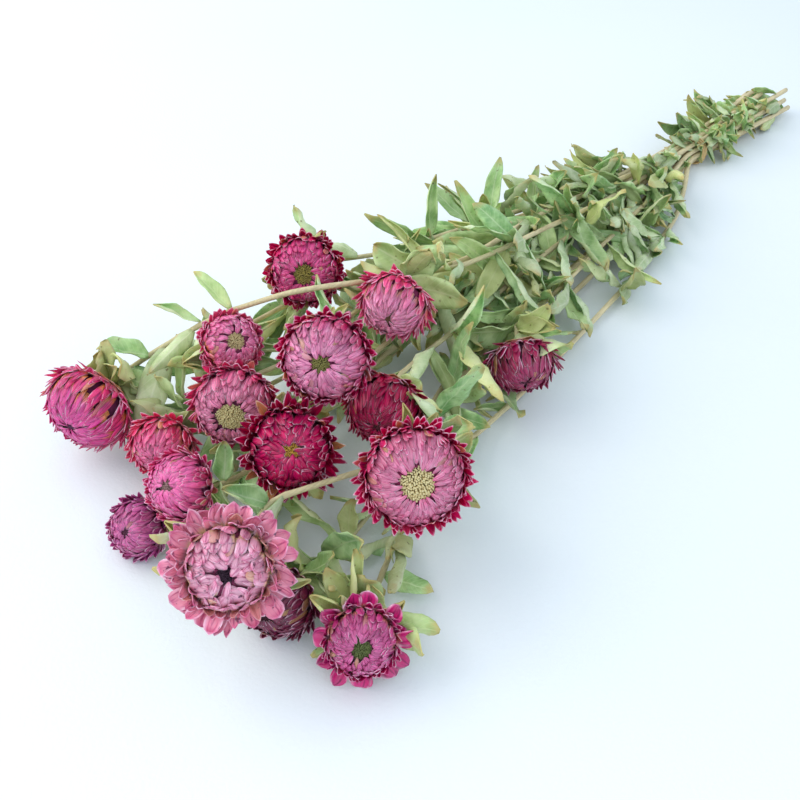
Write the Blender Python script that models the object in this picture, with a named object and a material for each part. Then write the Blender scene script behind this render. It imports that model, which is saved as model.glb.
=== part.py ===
"""A tied bunch of sixteen dried strawflowers, lying on a surface.

Lengths in this file are in millimetres and are turned to metres when a mesh is made.
The bunch lies along X, heads at -X and cut ends at +X, with Z up and the surface at Z = 0.
"""

import math
import random
from dataclasses import dataclass

import bmesh
import bpy
from mathutils import Matrix, Vector
from mathutils.bvhtree import BVHTree

MM = 0.001
SEAT_GAP = 0.3

# Globe of a head, as shares of its radius
BASE_DEPTH = 0.62
BELLY_RADIUS = 0.50
BELLY_DEPTH = 0.56
CROWN_HEIGHT = 0.80
BELT_RADIUS = 0.88
BELT_TOP_RADIUS = 0.91
BELT_DEPTH = 0.27
BELT_THICKNESS = 1.3
BRACT_RINGS = (84.0, 62.0, 42.0)
BRACT_LIFT = 1.08
VALLEY_LIFT = 0.98
VALLEY_DROP = 11.0
UNDERCUT = 0.90
UNDERCUT_DROP = 0.02
HOLE_DEPTH = 0.34
HOLE_RIM = (1.12, 0.92)
HOLE_RAGGED = 0.07
HOLE_FLOOR = 0.8

# Florets on the floor of the hole: radii as shares of the hole's, height of the head's
DISC_SIDES = 6
DISC_BOTTOM = 0.52
DISC_TOP = 0.60
DISC_HEIGHT = 0.20

# Outer petals of a head
PETAL_THICKNESS = 0.9
PETAL_STATIONS = ((0.42, 1.45), (0.80, 1.2))
PETAL_LEAN_SPREAD = (-6.0, 8.0)
PETAL_SWAY = 0.10
PETAL_LENGTHS = (0.9, 1.06)
LAYER_STEP = 14.0

# Stems and the leaves on them
STEM_SIDES = 5
STEM_RADIUS_AT_HEAD = 1.1
STEM_RADIUS_AT_TIE = 1.65
STEM_TAPER_SHARE = 0.75
STEM_RING_SPACING = 40.0
LEAF_ROOT_HALF = 1.5
LEAF_THICKNESS = 1.2
LEAF_STATIONS = ((0.20, 0.62), (0.50, 1.0), (0.80, 0.70))
CALYX_STATIONS = ((0.32, 0.85), (0.72, 0.90))
LEAF_LENGTHS = (28.0, 52.0)
LEAF_WIDTHS = (9.5, 14.0)
LEAF_LEANS = (18.0, 80.0)
CALYX_LENGTHS = (20.0, 31.0)
CALYX_WIDTHS = (8.5, 12.0)
CALYX_LEANS = (50.0, 88.0)
LEAF_ROLL = 55.0
LEAF_TWIST = 50.0
LEAF_WAVE = 0.9
LEAF_SHRINK = 0.6
SHOWY_TIP_PLAY = 9.0
SHOWY_ROLL = 70.0
SHOWY_TWIST = 35.0
LEAF_PLACE_GAP = 6.0
LEAF_TRIES = 60
LEAF_CLEARANCE = 0.45
FREE_AHEAD = 60.0
FREE_ASIDE = 0.55
CALYX_DISTANCE = 8.0
LEAF_SHARES = (0.10, 0.31, 0.53, 0.75)
LEAF_SHARE_SPREAD = 0.06
LEAVES_PAST_TIE = 34.0
MANY_SHOWY_LEAVES = 4

# The tie round the neck and the stems that it holds
TIE_MIDDLE = Vector((178.0, -15.0, 8.4))
TIE_HEADING = Vector((-0.985, 0.172, 0.0)).normalized()
TIE_INNER = (10.8, 7.4)
TIE_WALL = 1.0
TIE_WIDTH = 5.0
TIE_POINTS = 22
TIE_FLAT = 0.3
TIE_SQUARENESS = 2.0 / 3.0
SLOT_PITCH = 4.0
SLOT_ROW = 3.4
SLOT_BOTTOM = 3.35
STRAIGHT_AT_TIE = 10.0
CUT_END = Vector((289.0, -32.0, 1.0))
CUT_END_SPREAD = 2.1
CUT_END_RISE = 1.15
CUT_END_SHARES = (0.78, 1.0)
LEAD_LENGTH = 9.0

# Middle of the whole bunch's box, seen from above
ORIGIN = Vector((-2.3, 7.5, 0.0))

LEAF_GREEN = "7C9459"
FLORET_OLIVE = "A89A55"
RUBBER_AMBER = "C9A66B"
BRACT_ROUGHNESS = 0.55
FLORET_ROUGHNESS = 0.8
RUBBER_ROUGHNESS = 0.6
LEAF_ROUGHNESS = 0.75


@dataclass(frozen=True)
class Head:
    """One flower head: where its globe is, where it looks, and how its petals stand."""

    at: tuple
    width: float
    facing: tuple
    colour: str
    lobes: int = 8
    globe: float = 0.86
    lean: tuple = (66.0, 26.0)
    layers: int = 1
    hole: float = 0.34

    @property
    def radius(self):
        return 0.5 * self.width * self.globe

    @property
    def axis(self):
        azimuth, elevation = (math.radians(angle) for angle in self.facing)
        flat = math.cos(elevation)
        return Vector((flat * math.cos(azimuth), flat * math.sin(azimuth), math.sin(elevation)))

    @property
    def place(self):
        turn = self.axis.to_track_quat("Z", "Y")
        return Matrix.Translation(Vector(self.at)) @ turn.to_matrix().to_4x4()


HEADS = {
    "01": Head((-230, 84, 27), 43, (189, -5), "A85586", lobes=10, lean=(75, 50), hole=0.30),
    "02": Head((-183, 45, 48), 31, (246, 38), "B0567F", lean=(64, 40), globe=0.8),
    "03": Head((-130, 48, 55), 36, (218, 21), "8F1D4F", lobes=9, lean=(66, 25)),
    "04": Head((-192, -14, 72), 38, (208, 24), "C0517F", lobes=9, lean=(64, 27), hole=0.24),
    "05": Head((-132, -3, 58), 34, (198, -7), "BE4A74", lean=(70, 45), hole=0.26),
    "06": Head((-207, 22, 42), 37, (214, 12), "A8557D", lobes=9, lean=(68, 28), hole=0.42),
    "07": Head((-218, -16, 47), 36, (223, 37), "8C1A48", lobes=9, lean=(64, 26), hole=0.26),
    "08": Head((-170, -25, 38), 37, (197, -6), "861744", lobes=9, lean=(66, 25), hole=0.3),
    "09": Head((-208, -65, 52), 42, (220, 30), "B8305F", lobes=10, lean=(64, 30), hole=0.40),
    "10": Head((-225, 48, 20), 31, (208, 8), "B23A68", lean=(66, 25), hole=0.28),
    "11": Head((-249, 11, 37), 30, (184, 41), "BE4579", lean=(62, 22), hole=0.30),
    "12": Head((-258, 30, 11), 27, (188, 30), "9C4A7C", lean=(68, 38), hole=0.26),
    "13": Head(
        (-276, -39, 51), 45, (221, 36), "CF83A2", lobes=9, globe=0.66, lean=(88, 98), layers=2, hole=0.22
    ),
    "14": Head((-256, -40, 15), 32, (190, 12), "6B2440", lean=(66, 30), hole=0.3),
    "15": Head((-254, -75, 16.4), 38, (215, 33), "B02A6C", lobes=9, globe=0.66, lean=(80, 92), hole=0.34),
    "16": Head((-99, -48.5, 26), 34, (221, -21), "7C1F45", lean=(72, 45), hole=0.3),
}

# How far loose leaves may reach along the bunch: x, lowest y, highest y, highest z
LEAF_LIMITS = (
    (-290, -88, 96, 84),
    (-200, -86, 94, 84),
    (-100, -66, 74, 78),
    (0, -62, 60, 64),
    (100, -52, 34, 44),
    (178, -46, 16, 30),
    (290, -58, 4, 26),
)

# Each stem: its place in the tie (row from the bottom, steps to the side) and the
# points that it passes on the way from its head to the tie.
STEMS = {
    "01": ((3, 0.0), ((-176, 61, 50), (-157, 27, 67), (-94, 1, 53), (10, 1, 35), (90, -8, 23))),
    "02": ((1, 2.0), ((-150, 62, 33), (-60, 50, 24), (60, 18, 12))),
    "03": ((2, 1.5), ((-90, 49, 40), (0, 28, 26), (90, 8, 14))),
    "04": ((3, 1.0), ((-150, 14, 50), (-90, 18, 42), (0, 14, 29), (90, 0, 19))),
    "05": ((3, -1.0), ((-95, -8, 58), (-10, -12, 40), (80, -14, 22))),
    "06": ((1, 1.0), ((-150, 30, 30), (-60, 28, 24), (60, 8, 11))),
    "07": ((2, 0.5), ((-175, 4, 30), (-110, 4, 32), (0, -2, 24), (90, -6, 15))),
    "08": ((2, -0.5), ((-110, -18, 36), (0, -14, 26), (90, -14, 15))),
    "09": (
        (1, -2.0),
        ((-165, -54, 27), (-131, -48, 9), (-94, -47, 4), (-48, -48, 4), (36, -47, 4), (111, -38, 4)),
    ),
    "10": ((0, 1.5), ((-170, 47, 11), (-80, 38, 10), (60, 12, 5))),
    "11": ((1, 0.0), ((-205, 10, 14), (-140, 12, 16), (-40, 8, 17), (90, -4, 8))),
    "12": ((0, 0.5), ((-215, 22, 6), (-140, 18, 6), (-20, 14, 6), (90, -1, 4))),
    "13": (
        (1, -1.0),
        (
            (-238, -26, 43),
            (-228, -34, 44),
            (-205, -38, 37),
            (-172, -40, 20),
            (-130, -26, 13),
            (-60, -22, 14),
            (60, -21, 8),
        ),
    ),
    "14": ((0, -0.5), ((-200, -38, 7), (-140, -22, 5), (-90, -12, 4), (0, -16, 4), (100, -17, 4))),
    "15": ((0, -1.5), ((-212, -56, 6), (-150, -36, 5), (-95, -22, 4), (-20, -28, 4), (80, -27, 4))),
    "16": ((2, -1.5), ((-40, -32, 22), (40, -28, 18), (110, -24, 12))),
}

# Leaves that show at the edge of the bunch and between the heads, set by hand:
# stem, distance from its head, tip, width.
SHOWY_LEAVES = (
    ("01", 17.0, (-208, 69, 22), 9),
    ("01", 24.0, (-214, 92, 46), 9),
    ("01", 40.0, (-198, 63, 17), 8),
    ("01", 51.0, (-189, 82, 57), 7),
    ("01", 66.0, (-174, 72, 68), 7),
    ("01", 340.0, (52, 16, 33), 8),
    ("02", 55.0, (-119, 68, 45), 8),
    ("03", 87.0, (-32, 45, 62), 9),
    ("03", 116.0, (-19, 57, 48), 9),
    ("03", 132.0, (12, 32, 56), 9),
    ("04", 40.0, (-140, 33, 62), 8),
    ("04", 119.0, (-75, 46, 58), 9),
    ("04", 214.0, (32, 18, 49), 8),
    ("04", 268.0, (106, 8, 31), 8),
    ("06", 88.0, (-125, 0, 31), 8),
    ("06", 455.0, (205, -8, 13), 8),
    ("08", 223.0, (27, -40, 12), 9),
    ("08", 375.0, (172, -34, 5), 8),
    ("11", 18.0, (-217, 20, 35), 9),
    ("13", 173.0, (-88, 15, 38), 13),
    ("13", 203.0, (-121, -58, 13), 11),
    ("13", 220.0, (-56, -55, 16), 12),
    ("13", 33.0, (-252, -14, 52), 10),
    ("14", 35.0, (-207, -35, 22), 8),
    ("14", 442.0, (211, -42, 4), 8),
    ("15", 21.0, (-235, -42, 10), 8),
    ("15", 34.0, (-215, -78, 5), 9),
    ("15", 136.0, (-103, -8, 18), 8),
    ("16", 63.0, (-49, -58, 18), 9),
)


def colour_of(hex_code):
    """Linear colour from an sRGB hex code."""
    channels = (int(hex_code[i:i + 2], 16) / 255.0 for i in (0, 2, 4))
    linear = [c / 12.92 if c <= 0.04045 else ((c + 0.055) / 1.055) ** 2.4 for c in channels]
    return (*linear, 1.0)


def plain_material(name, hex_code, roughness):
    material = bpy.data.materials.new(name)
    material.use_nodes = True
    shader = material.node_tree.nodes["Principled BSDF"]
    shader.inputs["Base Color"].default_value = colour_of(hex_code)
    shader.inputs["Roughness"].default_value = roughness
    shader.inputs["Metallic"].default_value = 0.0
    return material


def add_object(name, shape, material, place=None):
    """Make an object from a bmesh in millimetres, in its own frame, and put it in place."""
    bmesh.ops.transform(shape, matrix=Matrix.Scale(MM, 4), verts=shape.verts)
    mesh = bpy.data.meshes.new(name)
    shape.to_mesh(mesh)
    shape.free()
    mesh.materials.append(material)
    mesh.shade_flat()
    piece = bpy.data.objects.new(name, mesh)
    bpy.context.collection.objects.link(piece)
    if place is not None:
        metres = place.copy()
        metres.translation = place.translation * MM
        piece.matrix_world = metres
    return piece


def surface_of(shape, place=None):
    """Search tree of a bmesh's triangles, in the bunch's frame and in millimetres."""
    copy = shape.copy()
    bmesh.ops.triangulate(copy, faces=copy.faces)
    if place is not None:
        bmesh.ops.transform(copy, matrix=place, verts=copy.verts)
    tree = BVHTree.FromBMesh(copy)
    copy.free()
    return tree


def cut_at_surface(shape, place):
    """Flatten what would reach below the surface that the bunch lies on."""
    back = place.inverted()
    if min((place @ vert.co).z for vert in shape.verts) >= 0.0:
        return
    bmesh.ops.bisect_plane(
        shape,
        geom=[*shape.verts, *shape.edges, *shape.faces],
        dist=0.001,
        plane_co=back @ Vector((0.0, 0.0, 0.0)),
        plane_no=back.to_3x3() @ Vector((0.0, 0.0, 1.0)),
        clear_inner=True,
    )
    rim = [edge for edge in shape.edges if edge.is_boundary]
    bmesh.ops.holes_fill(shape, edges=rim, sides=0)


def face_outwards(shape):
    if shape.calc_volume(signed=True) < 0.0:
        bmesh.ops.reverse_faces(shape, faces=shape.faces)


def strip(shape, lower, upper):
    """Faces between two closed loops of the same number of points."""
    count = len(lower)
    for i in range(count):
        j = (i + 1) % count
        shape.faces.new((lower[i], lower[j], upper[j]))
        shape.faces.new((lower[i], upper[j], upper[i]))


def fan(shape, loop, pole, outwards):
    """Faces from a closed loop to one point."""
    for i, point in enumerate(loop):
        after = loop[(i + 1) % len(loop)]
        corners = (point, after, pole) if outwards else (after, point, pole)
        shape.faces.new(corners)


def ring_points(columns, radius_and_height):
    """One point a column; radius_and_height gives each column's own."""
    points = []
    for column in range(columns):
        radius, height = radius_and_height(column)
        angle = 2.0 * math.pi * column / columns
        points.append(Vector((radius * math.cos(angle), radius * math.sin(angle), height)))
    return points


def globe_point(head, polar, scale=1.0):
    """Radius and height on the globe at an angle from the axis in degrees."""
    angle = math.radians(polar)
    return head.radius * scale * math.sin(angle), head.radius * CROWN_HEIGHT * scale * math.cos(angle)


def bract_ring(head, polar, offset, undercut):
    """A ring of bract tips with valleys between, or the shadow line behind those tips."""
    columns = 2 * head.lobes

    def place(column):
        tip = (column + offset) % 2 == 0
        if tip:
            radius, height = globe_point(head, polar, BRACT_LIFT)
        else:
            radius, height = globe_point(head, polar + VALLEY_DROP, VALLEY_LIFT)
        if undercut:
            radius *= UNDERCUT
            height -= UNDERCUT_DROP * head.radius
        return radius, height

    return ring_points(columns, place)


def outer_petal(shape, head, root, layer, dice):
    """Extrude one petal from four root corners: low left, low right, high right, high left."""
    low_left, low_right, high_right, high_left = (corner.co.copy() for corner in root)
    middle = 0.25 * (low_left + low_right + high_right + high_left)
    outward = Vector((middle.x, middle.y, 0.0)).normalized()
    sideways = Vector((0.0, 0.0, 1.0)).cross(outward)
    half_width = 0.5 * (low_right - low_left).length
    reach = 0.5 * head.width - middle.xy.length
    lean_root, lean_tip = (lean - LAYER_STEP * layer for lean in head.lean)
    lean_tip += dice.uniform(*PETAL_LEAN_SPREAD)
    sway = dice.uniform(-PETAL_SWAY, PETAL_SWAY)
    mean_lean = math.radians(0.5 * (lean_root + lean_tip))
    length = reach / max(math.sin(mean_lean), 0.45) * dice.uniform(*PETAL_LENGTHS)
    loops = [list(root)]
    point = middle
    before = 0.0
    for share, widening in PETAL_STATIONS:
        lean = math.radians(lean_root + (lean_tip - lean_root) * share)
        heading = outward * math.sin(lean) + Vector((0.0, 0.0, math.cos(lean))) + sideways * sway
        point = point + heading * length * (share - before)
        upward = heading.cross(sideways).normalized()
        wide = sideways * half_width * widening
        thick = upward * 0.5 * PETAL_THICKNESS
        corners = (point - wide - thick, point + wide - thick, point + wide + thick, point - wide + thick)
        loops.append([shape.verts.new(corner) for corner in corners])
        before = share
    lean = math.radians(lean_tip)
    heading = outward * math.sin(lean) + Vector((0.0, 0.0, math.cos(lean))) + sideways * sway
    tip = shape.verts.new(point + heading * length * (1.0 - before))
    for lower, upper in zip(loops, loops[1:]):
        strip(shape, lower, upper)
    fan(shape, loops[-1], tip, outwards=True)


def bloom_shape(name, head):
    """A head's bracts: belly, belt with the outer petals, rings of tips, and the hole."""
    shape = bmesh.new()
    dice = random.Random("bloom " + name)
    columns = 2 * head.lobes
    radius = head.radius
    rows = [
        ring_points(columns, lambda column: (BELLY_RADIUS * radius, -BELLY_DEPTH * radius)),
        ring_points(columns, lambda column: (BELT_RADIUS * radius, -BELT_DEPTH * radius)),
    ]
    belts = []
    for layer in range(head.layers):
        belts.append(len(rows) - 1)
        lift = BELT_THICKNESS * (layer + 1)
        height = -BELT_DEPTH * radius + lift
        rows.append(ring_points(columns, lambda column: (BELT_TOP_RADIUS * radius, height)))
    for ring, polar in enumerate(BRACT_RINGS):
        rows.append(bract_ring(head, polar, ring % 2, undercut=False))
        if polar != BRACT_RINGS[-1]:
            rows.append(bract_ring(head, polar, ring % 2, undercut=True))
    hole = head.hole * radius
    rim = math.degrees(math.asin(head.hole))
    rim_height = globe_point(head, rim)[1]
    ragged = HOLE_RAGGED * radius
    rims = [(hole * HOLE_RIM[odd], rim_height + ragged * odd) for odd in (0, 1)]
    rows.append(ring_points(columns, lambda column: rims[column % 2]))
    floor_height = rim_height - HOLE_DEPTH * radius
    rows.append(ring_points(columns, lambda column: (HOLE_FLOOR * hole, floor_height)))
    loops = [[shape.verts.new(point) for point in row] for row in rows]
    base = shape.verts.new((0.0, 0.0, -BASE_DEPTH * radius))
    floor = shape.verts.new((0.0, 0.0, floor_height))
    fan(shape, loops[0], base, outwards=False)
    fan(shape, loops[-1], floor, outwards=True)
    for index, (lower, upper) in enumerate(zip(loops, loops[1:])):
        if index not in belts:
            strip(shape, lower, upper)
            continue
        for column in range(columns):
            after = (column + 1) % columns
            corners = (lower[column], lower[after], upper[after], upper[column])
            if column % 2 == belts.index(index) % 2:
                outer_petal(shape, head, corners, belts.index(index), dice)
            else:
                shape.faces.new(corners[:3])
                shape.faces.new((corners[0], corners[2], corners[3]))
    cut_at_surface(shape, head.place)
    face_outwards(shape)
    return shape


def disc_shape(head):
    """The tuft of florets that sits on the floor of a head's hole."""
    shape = bmesh.new()
    hole = head.hole * head.radius
    rim = math.degrees(math.asin(head.hole))
    floor_height = globe_point(head, rim)[1] - HOLE_DEPTH * head.radius + SEAT_GAP
    tall = DISC_HEIGHT * head.radius
    heights = (0.75 * tall, tall)
    bottom = ring_points(DISC_SIDES, lambda column: (DISC_BOTTOM * hole, floor_height))
    top = ring_points(DISC_SIDES, lambda column: (DISC_TOP * hole, floor_height + heights[column % 2]))
    lower = [shape.verts.new(point) for point in bottom]
    upper = [shape.verts.new(point) for point in top]
    strip(shape, lower, upper)
    fan(shape, lower, shape.verts.new((0.0, 0.0, floor_height)), outwards=False)
    fan(shape, upper, shape.verts.new((0.0, 0.0, floor_height + 0.6 * tall)), outwards=True)
    face_outwards(shape)
    return shape


def tie_frame():
    """The tie's own axes: along the stems towards the heads, sideways, and up."""
    along = TIE_HEADING
    upward = Vector((0.0, 0.0, 1.0))
    sideways = upward.cross(along) * -1.0
    return along, sideways, upward


def tie_shape():
    """A flat band round the neck, with a flat spot underneath."""
    shape = bmesh.new()
    along, sideways, upward = tie_frame()

    def outline(grow, shift):
        points = []
        half_wide, half_high = TIE_INNER[0] + grow, TIE_INNER[1] + grow
        for step in range(TIE_POINTS):
            angle = 2.0 * math.pi * (step + 0.5) / TIE_POINTS - 0.5 * math.pi
            cosine, sine = math.cos(angle), math.sin(angle)
            across = half_wide * math.copysign(abs(cosine) ** TIE_SQUARENESS, cosine)
            height = half_high * math.copysign(abs(sine) ** TIE_SQUARENESS, sine)
            point = TIE_MIDDLE + sideways * across + upward * height + along * shift
            if point.z < TIE_FLAT:
                point.z = 0.0
            points.append(shape.verts.new(point))
        return points

    half = 0.5 * TIE_WIDTH
    loops = [outline(TIE_WALL, -half), outline(TIE_WALL, half), outline(0.0, half), outline(0.0, -half)]
    for lower, upper in zip(loops, loops[1:] + loops[:1]):
        strip(shape, lower, upper)
    face_outwards(shape)
    return shape


def slot_place(slot):
    """Middle of a stem where the tie holds it."""
    row, steps = slot
    _, sideways, _ = tie_frame()
    point = TIE_MIDDLE + sideways * steps * SLOT_PITCH
    point.z = SLOT_BOTTOM + row * SLOT_ROW
    return point


def smooth_route(points, step=1.5):
    """Even points along a smooth curve through the given points (centripetal)."""
    padded = [2.0 * points[0] - points[1], *points, 2.0 * points[-1] - points[-2]]
    dense = []
    for a, b, c, d in zip(padded, padded[1:], padded[2:], padded[3:]):
        t1 = math.sqrt((b - a).length)
        t2 = t1 + math.sqrt((c - b).length)
        t3 = t2 + math.sqrt((d - c).length)
        pieces = max(2, int((c - b).length / step))
        for index in range(pieces):
            t = t1 + (t2 - t1) * index / pieces
            ab = a + (b - a) * (t / t1)
            bc = b + (c - b) * ((t - t1) / (t2 - t1))
            cd = c + (d - c) * ((t - t2) / (t3 - t2))
            abc = ab + (bc - ab) * (t / t2)
            bcd = bc + (cd - bc) * ((t - t1) / (t3 - t1))
            dense.append(abc + (bcd - abc) * ((t - t1) / (t2 - t1)))
    dense.append(points[-1])
    return dense


class Route:
    """A stem's middle line, read by distance from the head."""

    def __init__(self, points):
        self.points = smooth_route(points)
        self.lengths = [0.0]
        for start, end in zip(self.points, self.points[1:]):
            self.lengths.append(self.lengths[-1] + (end - start).length)
        self.total = self.lengths[-1]

    def at(self, distance):
        distance = min(max(distance, 0.0), self.total)
        index = 0
        while index < len(self.lengths) - 2 and self.lengths[index + 1] < distance:
            index += 1
        share = (distance - self.lengths[index]) / (self.lengths[index + 1] - self.lengths[index])
        return self.points[index].lerp(self.points[index + 1], share)

    def heading(self, distance):
        """Direction away from the head."""
        return (self.at(distance + 2.0) - self.at(distance - 2.0)).normalized()

    def nearest(self, point):
        index = min(range(len(self.points)), key=lambda i: (self.points[i] - point).length)
        return self.lengths[index]


def stem_route(name):
    slot, via = STEMS[name]
    head = HEADS[name]
    along, sideways, _ = tie_frame()
    seat = Vector(head.at) - head.axis * (BASE_DEPTH * head.radius + SEAT_GAP)
    held = slot_place(slot)
    dice = random.Random("cut end " + name)
    end = CUT_END + sideways * slot[1] * CUT_END_SPREAD * SLOT_PITCH
    end.z += held.z * CUT_END_RISE
    end = held.lerp(end, dice.uniform(*CUT_END_SHARES))
    lead = seat - head.axis * LEAD_LENGTH
    points = [seat, lead, *(Vector(point) for point in via)]
    points += [held + along * STRAIGHT_AT_TIE, held, held - along * STRAIGHT_AT_TIE]
    points += [points[-1].lerp(end, 0.35), end]
    return Route(points)


def stem_radius(route, distance):
    share = min(1.0, distance / (STEM_TAPER_SHARE * route.total))
    return STEM_RADIUS_AT_HEAD + (STEM_RADIUS_AT_TIE - STEM_RADIUS_AT_HEAD) * share


def stem_axes(route, distance):
    """Up and sideways directions of a stem's cross section."""
    heading = route.heading(distance)
    upward = (Vector((0.0, 0.0, 1.0)) - heading * heading.z).normalized()
    return upward, heading.cross(upward)


def stem_ring(route, distance):
    upward, sideways = stem_axes(route, distance)
    middle = route.at(distance)
    radius = stem_radius(route, distance)
    points = []
    for side in range(STEM_SIDES):
        angle = 2.0 * math.pi * side / STEM_SIDES
        points.append(middle + radius * (math.cos(angle) * upward + math.sin(angle) * sideways))
    return points


def side_normal(route, distance, side):
    upward, sideways = stem_axes(route, distance)
    angle = 2.0 * math.pi * (side + 0.5) / STEM_SIDES
    return math.cos(angle) * upward + math.sin(angle) * sideways


@dataclass
class Leaf:
    """One leaf: the stem side it grows from, and the line, width and set of its blade."""

    distance: float
    side: int
    root: Vector
    tip: Vector
    bow: Vector
    width: float
    face: Vector
    fold: float = 0.25
    wave: float = 0.0
    twist: float = 0.0
    stations: tuple = LEAF_STATIONS

    def middle(self, t):
        control = 0.5 * (self.root + self.tip) + self.bow
        return (1 - t) ** 2 * self.root + 2 * t * (1 - t) * control + t * t * self.tip

    def section(self, t, share, grow=0.0):
        """Left edge, underside, right edge and upper side of the blade at a station."""
        heading = (self.middle(min(t + 0.02, 1.0)) - self.middle(t - 0.02)).normalized()
        across = heading.cross(self.face).normalized()
        across.rotate(Matrix.Rotation(math.radians(self.twist * t), 3, heading))
        upper = across.cross(heading).normalized()
        half = 0.5 * self.width * share + grow
        thick = 0.5 * LEAF_THICKNESS + grow
        lift = self.fold * half
        middle = self.middle(t)
        left = middle - across * half + upper * (lift + self.wave * share)
        right = middle + across * half + upper * (lift - self.wave * share)
        return [left, middle - upper * thick, right, middle + upper * thick]

    def body(self):
        """Triangles of a slightly swollen blade, for telling whether it is clear."""
        sections = [self.section(0.10, 0.35, LEAF_CLEARANCE)]
        sections += [self.section(t, share, LEAF_CLEARANCE) for t, share in self.stations]
        heading = (self.tip - self.middle(0.9)).normalized()
        points = [point for section in sections for point in section]
        points.append(self.tip + heading * LEAF_CLEARANCE)
        faces = []
        for row in range(len(sections) - 1):
            for i in range(4):
                a, b = 4 * row + i, 4 * row + (i + 1) % 4
                faces += [(a, b, b + 4), (a, b + 4, a + 4)]
        last = 4 * (len(sections) - 1)
        faces += [(last + i, last + (i + 1) % 4, len(points) - 1) for i in range(4)]
        return points, faces


def side_towards(route, distance, direction):
    """The stem side that looks most nearly in a direction."""
    return max(range(STEM_SIDES), key=lambda side: side_normal(route, distance, side).dot(direction))


def leaf_root(route, distance, side):
    apothem = stem_radius(route, distance) * math.cos(math.pi / STEM_SIDES)
    return route.at(distance) + side_normal(route, distance, side) * apothem


def grown_leaf(route, distance, side, dice, shrink, calyx):
    """A leaf drawn at random: it leans to the head, arches, folds and twists."""
    towards_head = -route.heading(distance)
    normal = side_normal(route, distance, side)
    root = leaf_root(route, distance, side)
    if calyx:
        length = dice.uniform(*CALYX_LENGTHS) * shrink
        lean = math.radians(dice.uniform(*CALYX_LEANS))
        width = dice.uniform(*CALYX_WIDTHS) * shrink
    else:
        length = dice.uniform(*LEAF_LENGTHS) * shrink
        lean = math.radians(dice.uniform(*LEAF_LEANS))
        width = dice.uniform(*LEAF_WIDTHS) * (0.5 + 0.5 * shrink)
    direction = math.cos(lean) * towards_head + math.sin(lean) * normal
    direction.z += dice.uniform(-0.25, 0.3)
    direction.normalize()
    swing = direction.cross(towards_head).normalized()
    face = (towards_head - direction * towards_head.dot(direction)).normalized()
    face.rotate(Matrix.Rotation(math.radians(dice.uniform(-LEAF_ROLL, LEAF_ROLL)), 3, direction))
    bow = face * dice.uniform(-0.22, 0.12) * length + swing * dice.uniform(-0.12, 0.12) * length
    tip = root + direction * length
    fold = dice.uniform(0.1, 0.5)
    wave = dice.uniform(-LEAF_WAVE, LEAF_WAVE)
    twist = dice.uniform(-LEAF_TWIST, LEAF_TWIST)
    stations = CALYX_STATIONS if calyx else LEAF_STATIONS
    return Leaf(distance, side, root, tip, bow, width, face, fold, wave, twist, stations)


def leaf_distances(name, route):
    """Where leaves grow on a stem, how many, and whether they are the small ones at the head."""
    dice = random.Random("leaf places " + name)
    tie = route.nearest(TIE_MIDDLE)
    taken = [distance for stem, distance, _, _ in SHOWY_LEAVES if stem == name]
    places = [(CALYX_DISTANCE, 3, True)]
    most = 3 if len(taken) < MANY_SHOWY_LEAVES else 2
    wanted = []
    for share in LEAF_SHARES:
        distance = (share + dice.uniform(-LEAF_SHARE_SPREAD, LEAF_SHARE_SPREAD)) * tie
        wanted.append((distance, most if share > 0.5 else 2))
    wanted.append((tie + LEAVES_PAST_TIE + dice.uniform(-12.0, 20.0), 1))
    for distance, count in wanted:
        while any(abs(distance - other) < LEAF_PLACE_GAP for other in taken):
            distance += 2.0
        taken.append(distance)
        places.append((distance, count, False))
    return places


def ring_distances(name, route):
    """Where a stem's rings go: a pair at each place with leaves, and some between."""
    tie = route.nearest(TIE_MIDDLE)
    stops = {0.0, tie - STRAIGHT_AT_TIE, tie + STRAIGHT_AT_TIE, route.total}
    places = [distance for distance, _, _ in leaf_distances(name, route)]
    places += [distance for stem, distance, _, _ in SHOWY_LEAVES if stem == name]
    for distance in places:
        stops |= {distance - LEAF_ROOT_HALF, distance + LEAF_ROOT_HALF}
    stops = sorted(stops)
    filled = [stops[0]]
    for stop in stops[1:]:
        start = filled[-1]
        pieces = max(1, math.ceil((stop - start) / STEM_RING_SPACING))
        filled += [start + (stop - start) * (i + 1) / pieces for i in range(pieces)]
    return filled


def loop_normal(points):
    return (points[2] - points[0]).cross(points[3] - points[1])


def matched_order(root, section, heading):
    """Order of a section's corners that follows the root corners with the least twist."""
    root_middle = sum(root, Vector()) / 4.0
    section_middle = sum(section, Vector()) / 4.0
    spokes = [(corner - root_middle).normalized() for corner in root]
    order = [0, 1, 2, 3]
    if loop_normal(section).dot(heading) * loop_normal(root).dot(heading) < 0.0:
        order.reverse()

    def score(turned):
        arms = [(section[i] - section_middle).normalized() for i in turned]
        return sum(spoke.dot(arm) for spoke, arm in zip(spokes, arms))

    return max((order[k:] + order[:k] for k in range(4)), key=score)


def leaf_mesh(root, leaf):
    """Points and triangles of a leaf that grows from the four corners of a stem side."""
    sections = [leaf.section(t, share) for t, share in leaf.stations]
    order = matched_order(root, sections[0], leaf.middle(0.2) - leaf.root)
    points = list(root)
    for section in sections:
        points += [section[i] for i in order]
    points.append(leaf.tip)
    faces = []
    for row in range(len(sections)):
        for i in range(4):
            a, b = 4 * row + i, 4 * row + (i + 1) % 4
            faces += [(a, b, b + 4), (a, b + 4, a + 4)]
    last = 4 * len(sections)
    faces += [(last + i, last + (i + 1) % 4, len(points) - 1) for i in range(4)]
    return points, faces


def crosses_itself(points, faces):
    tree = BVHTree.FromPolygons(points, faces)
    return any(not set(faces[a]) & set(faces[b]) for a, b in tree.overlap(tree))


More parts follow.
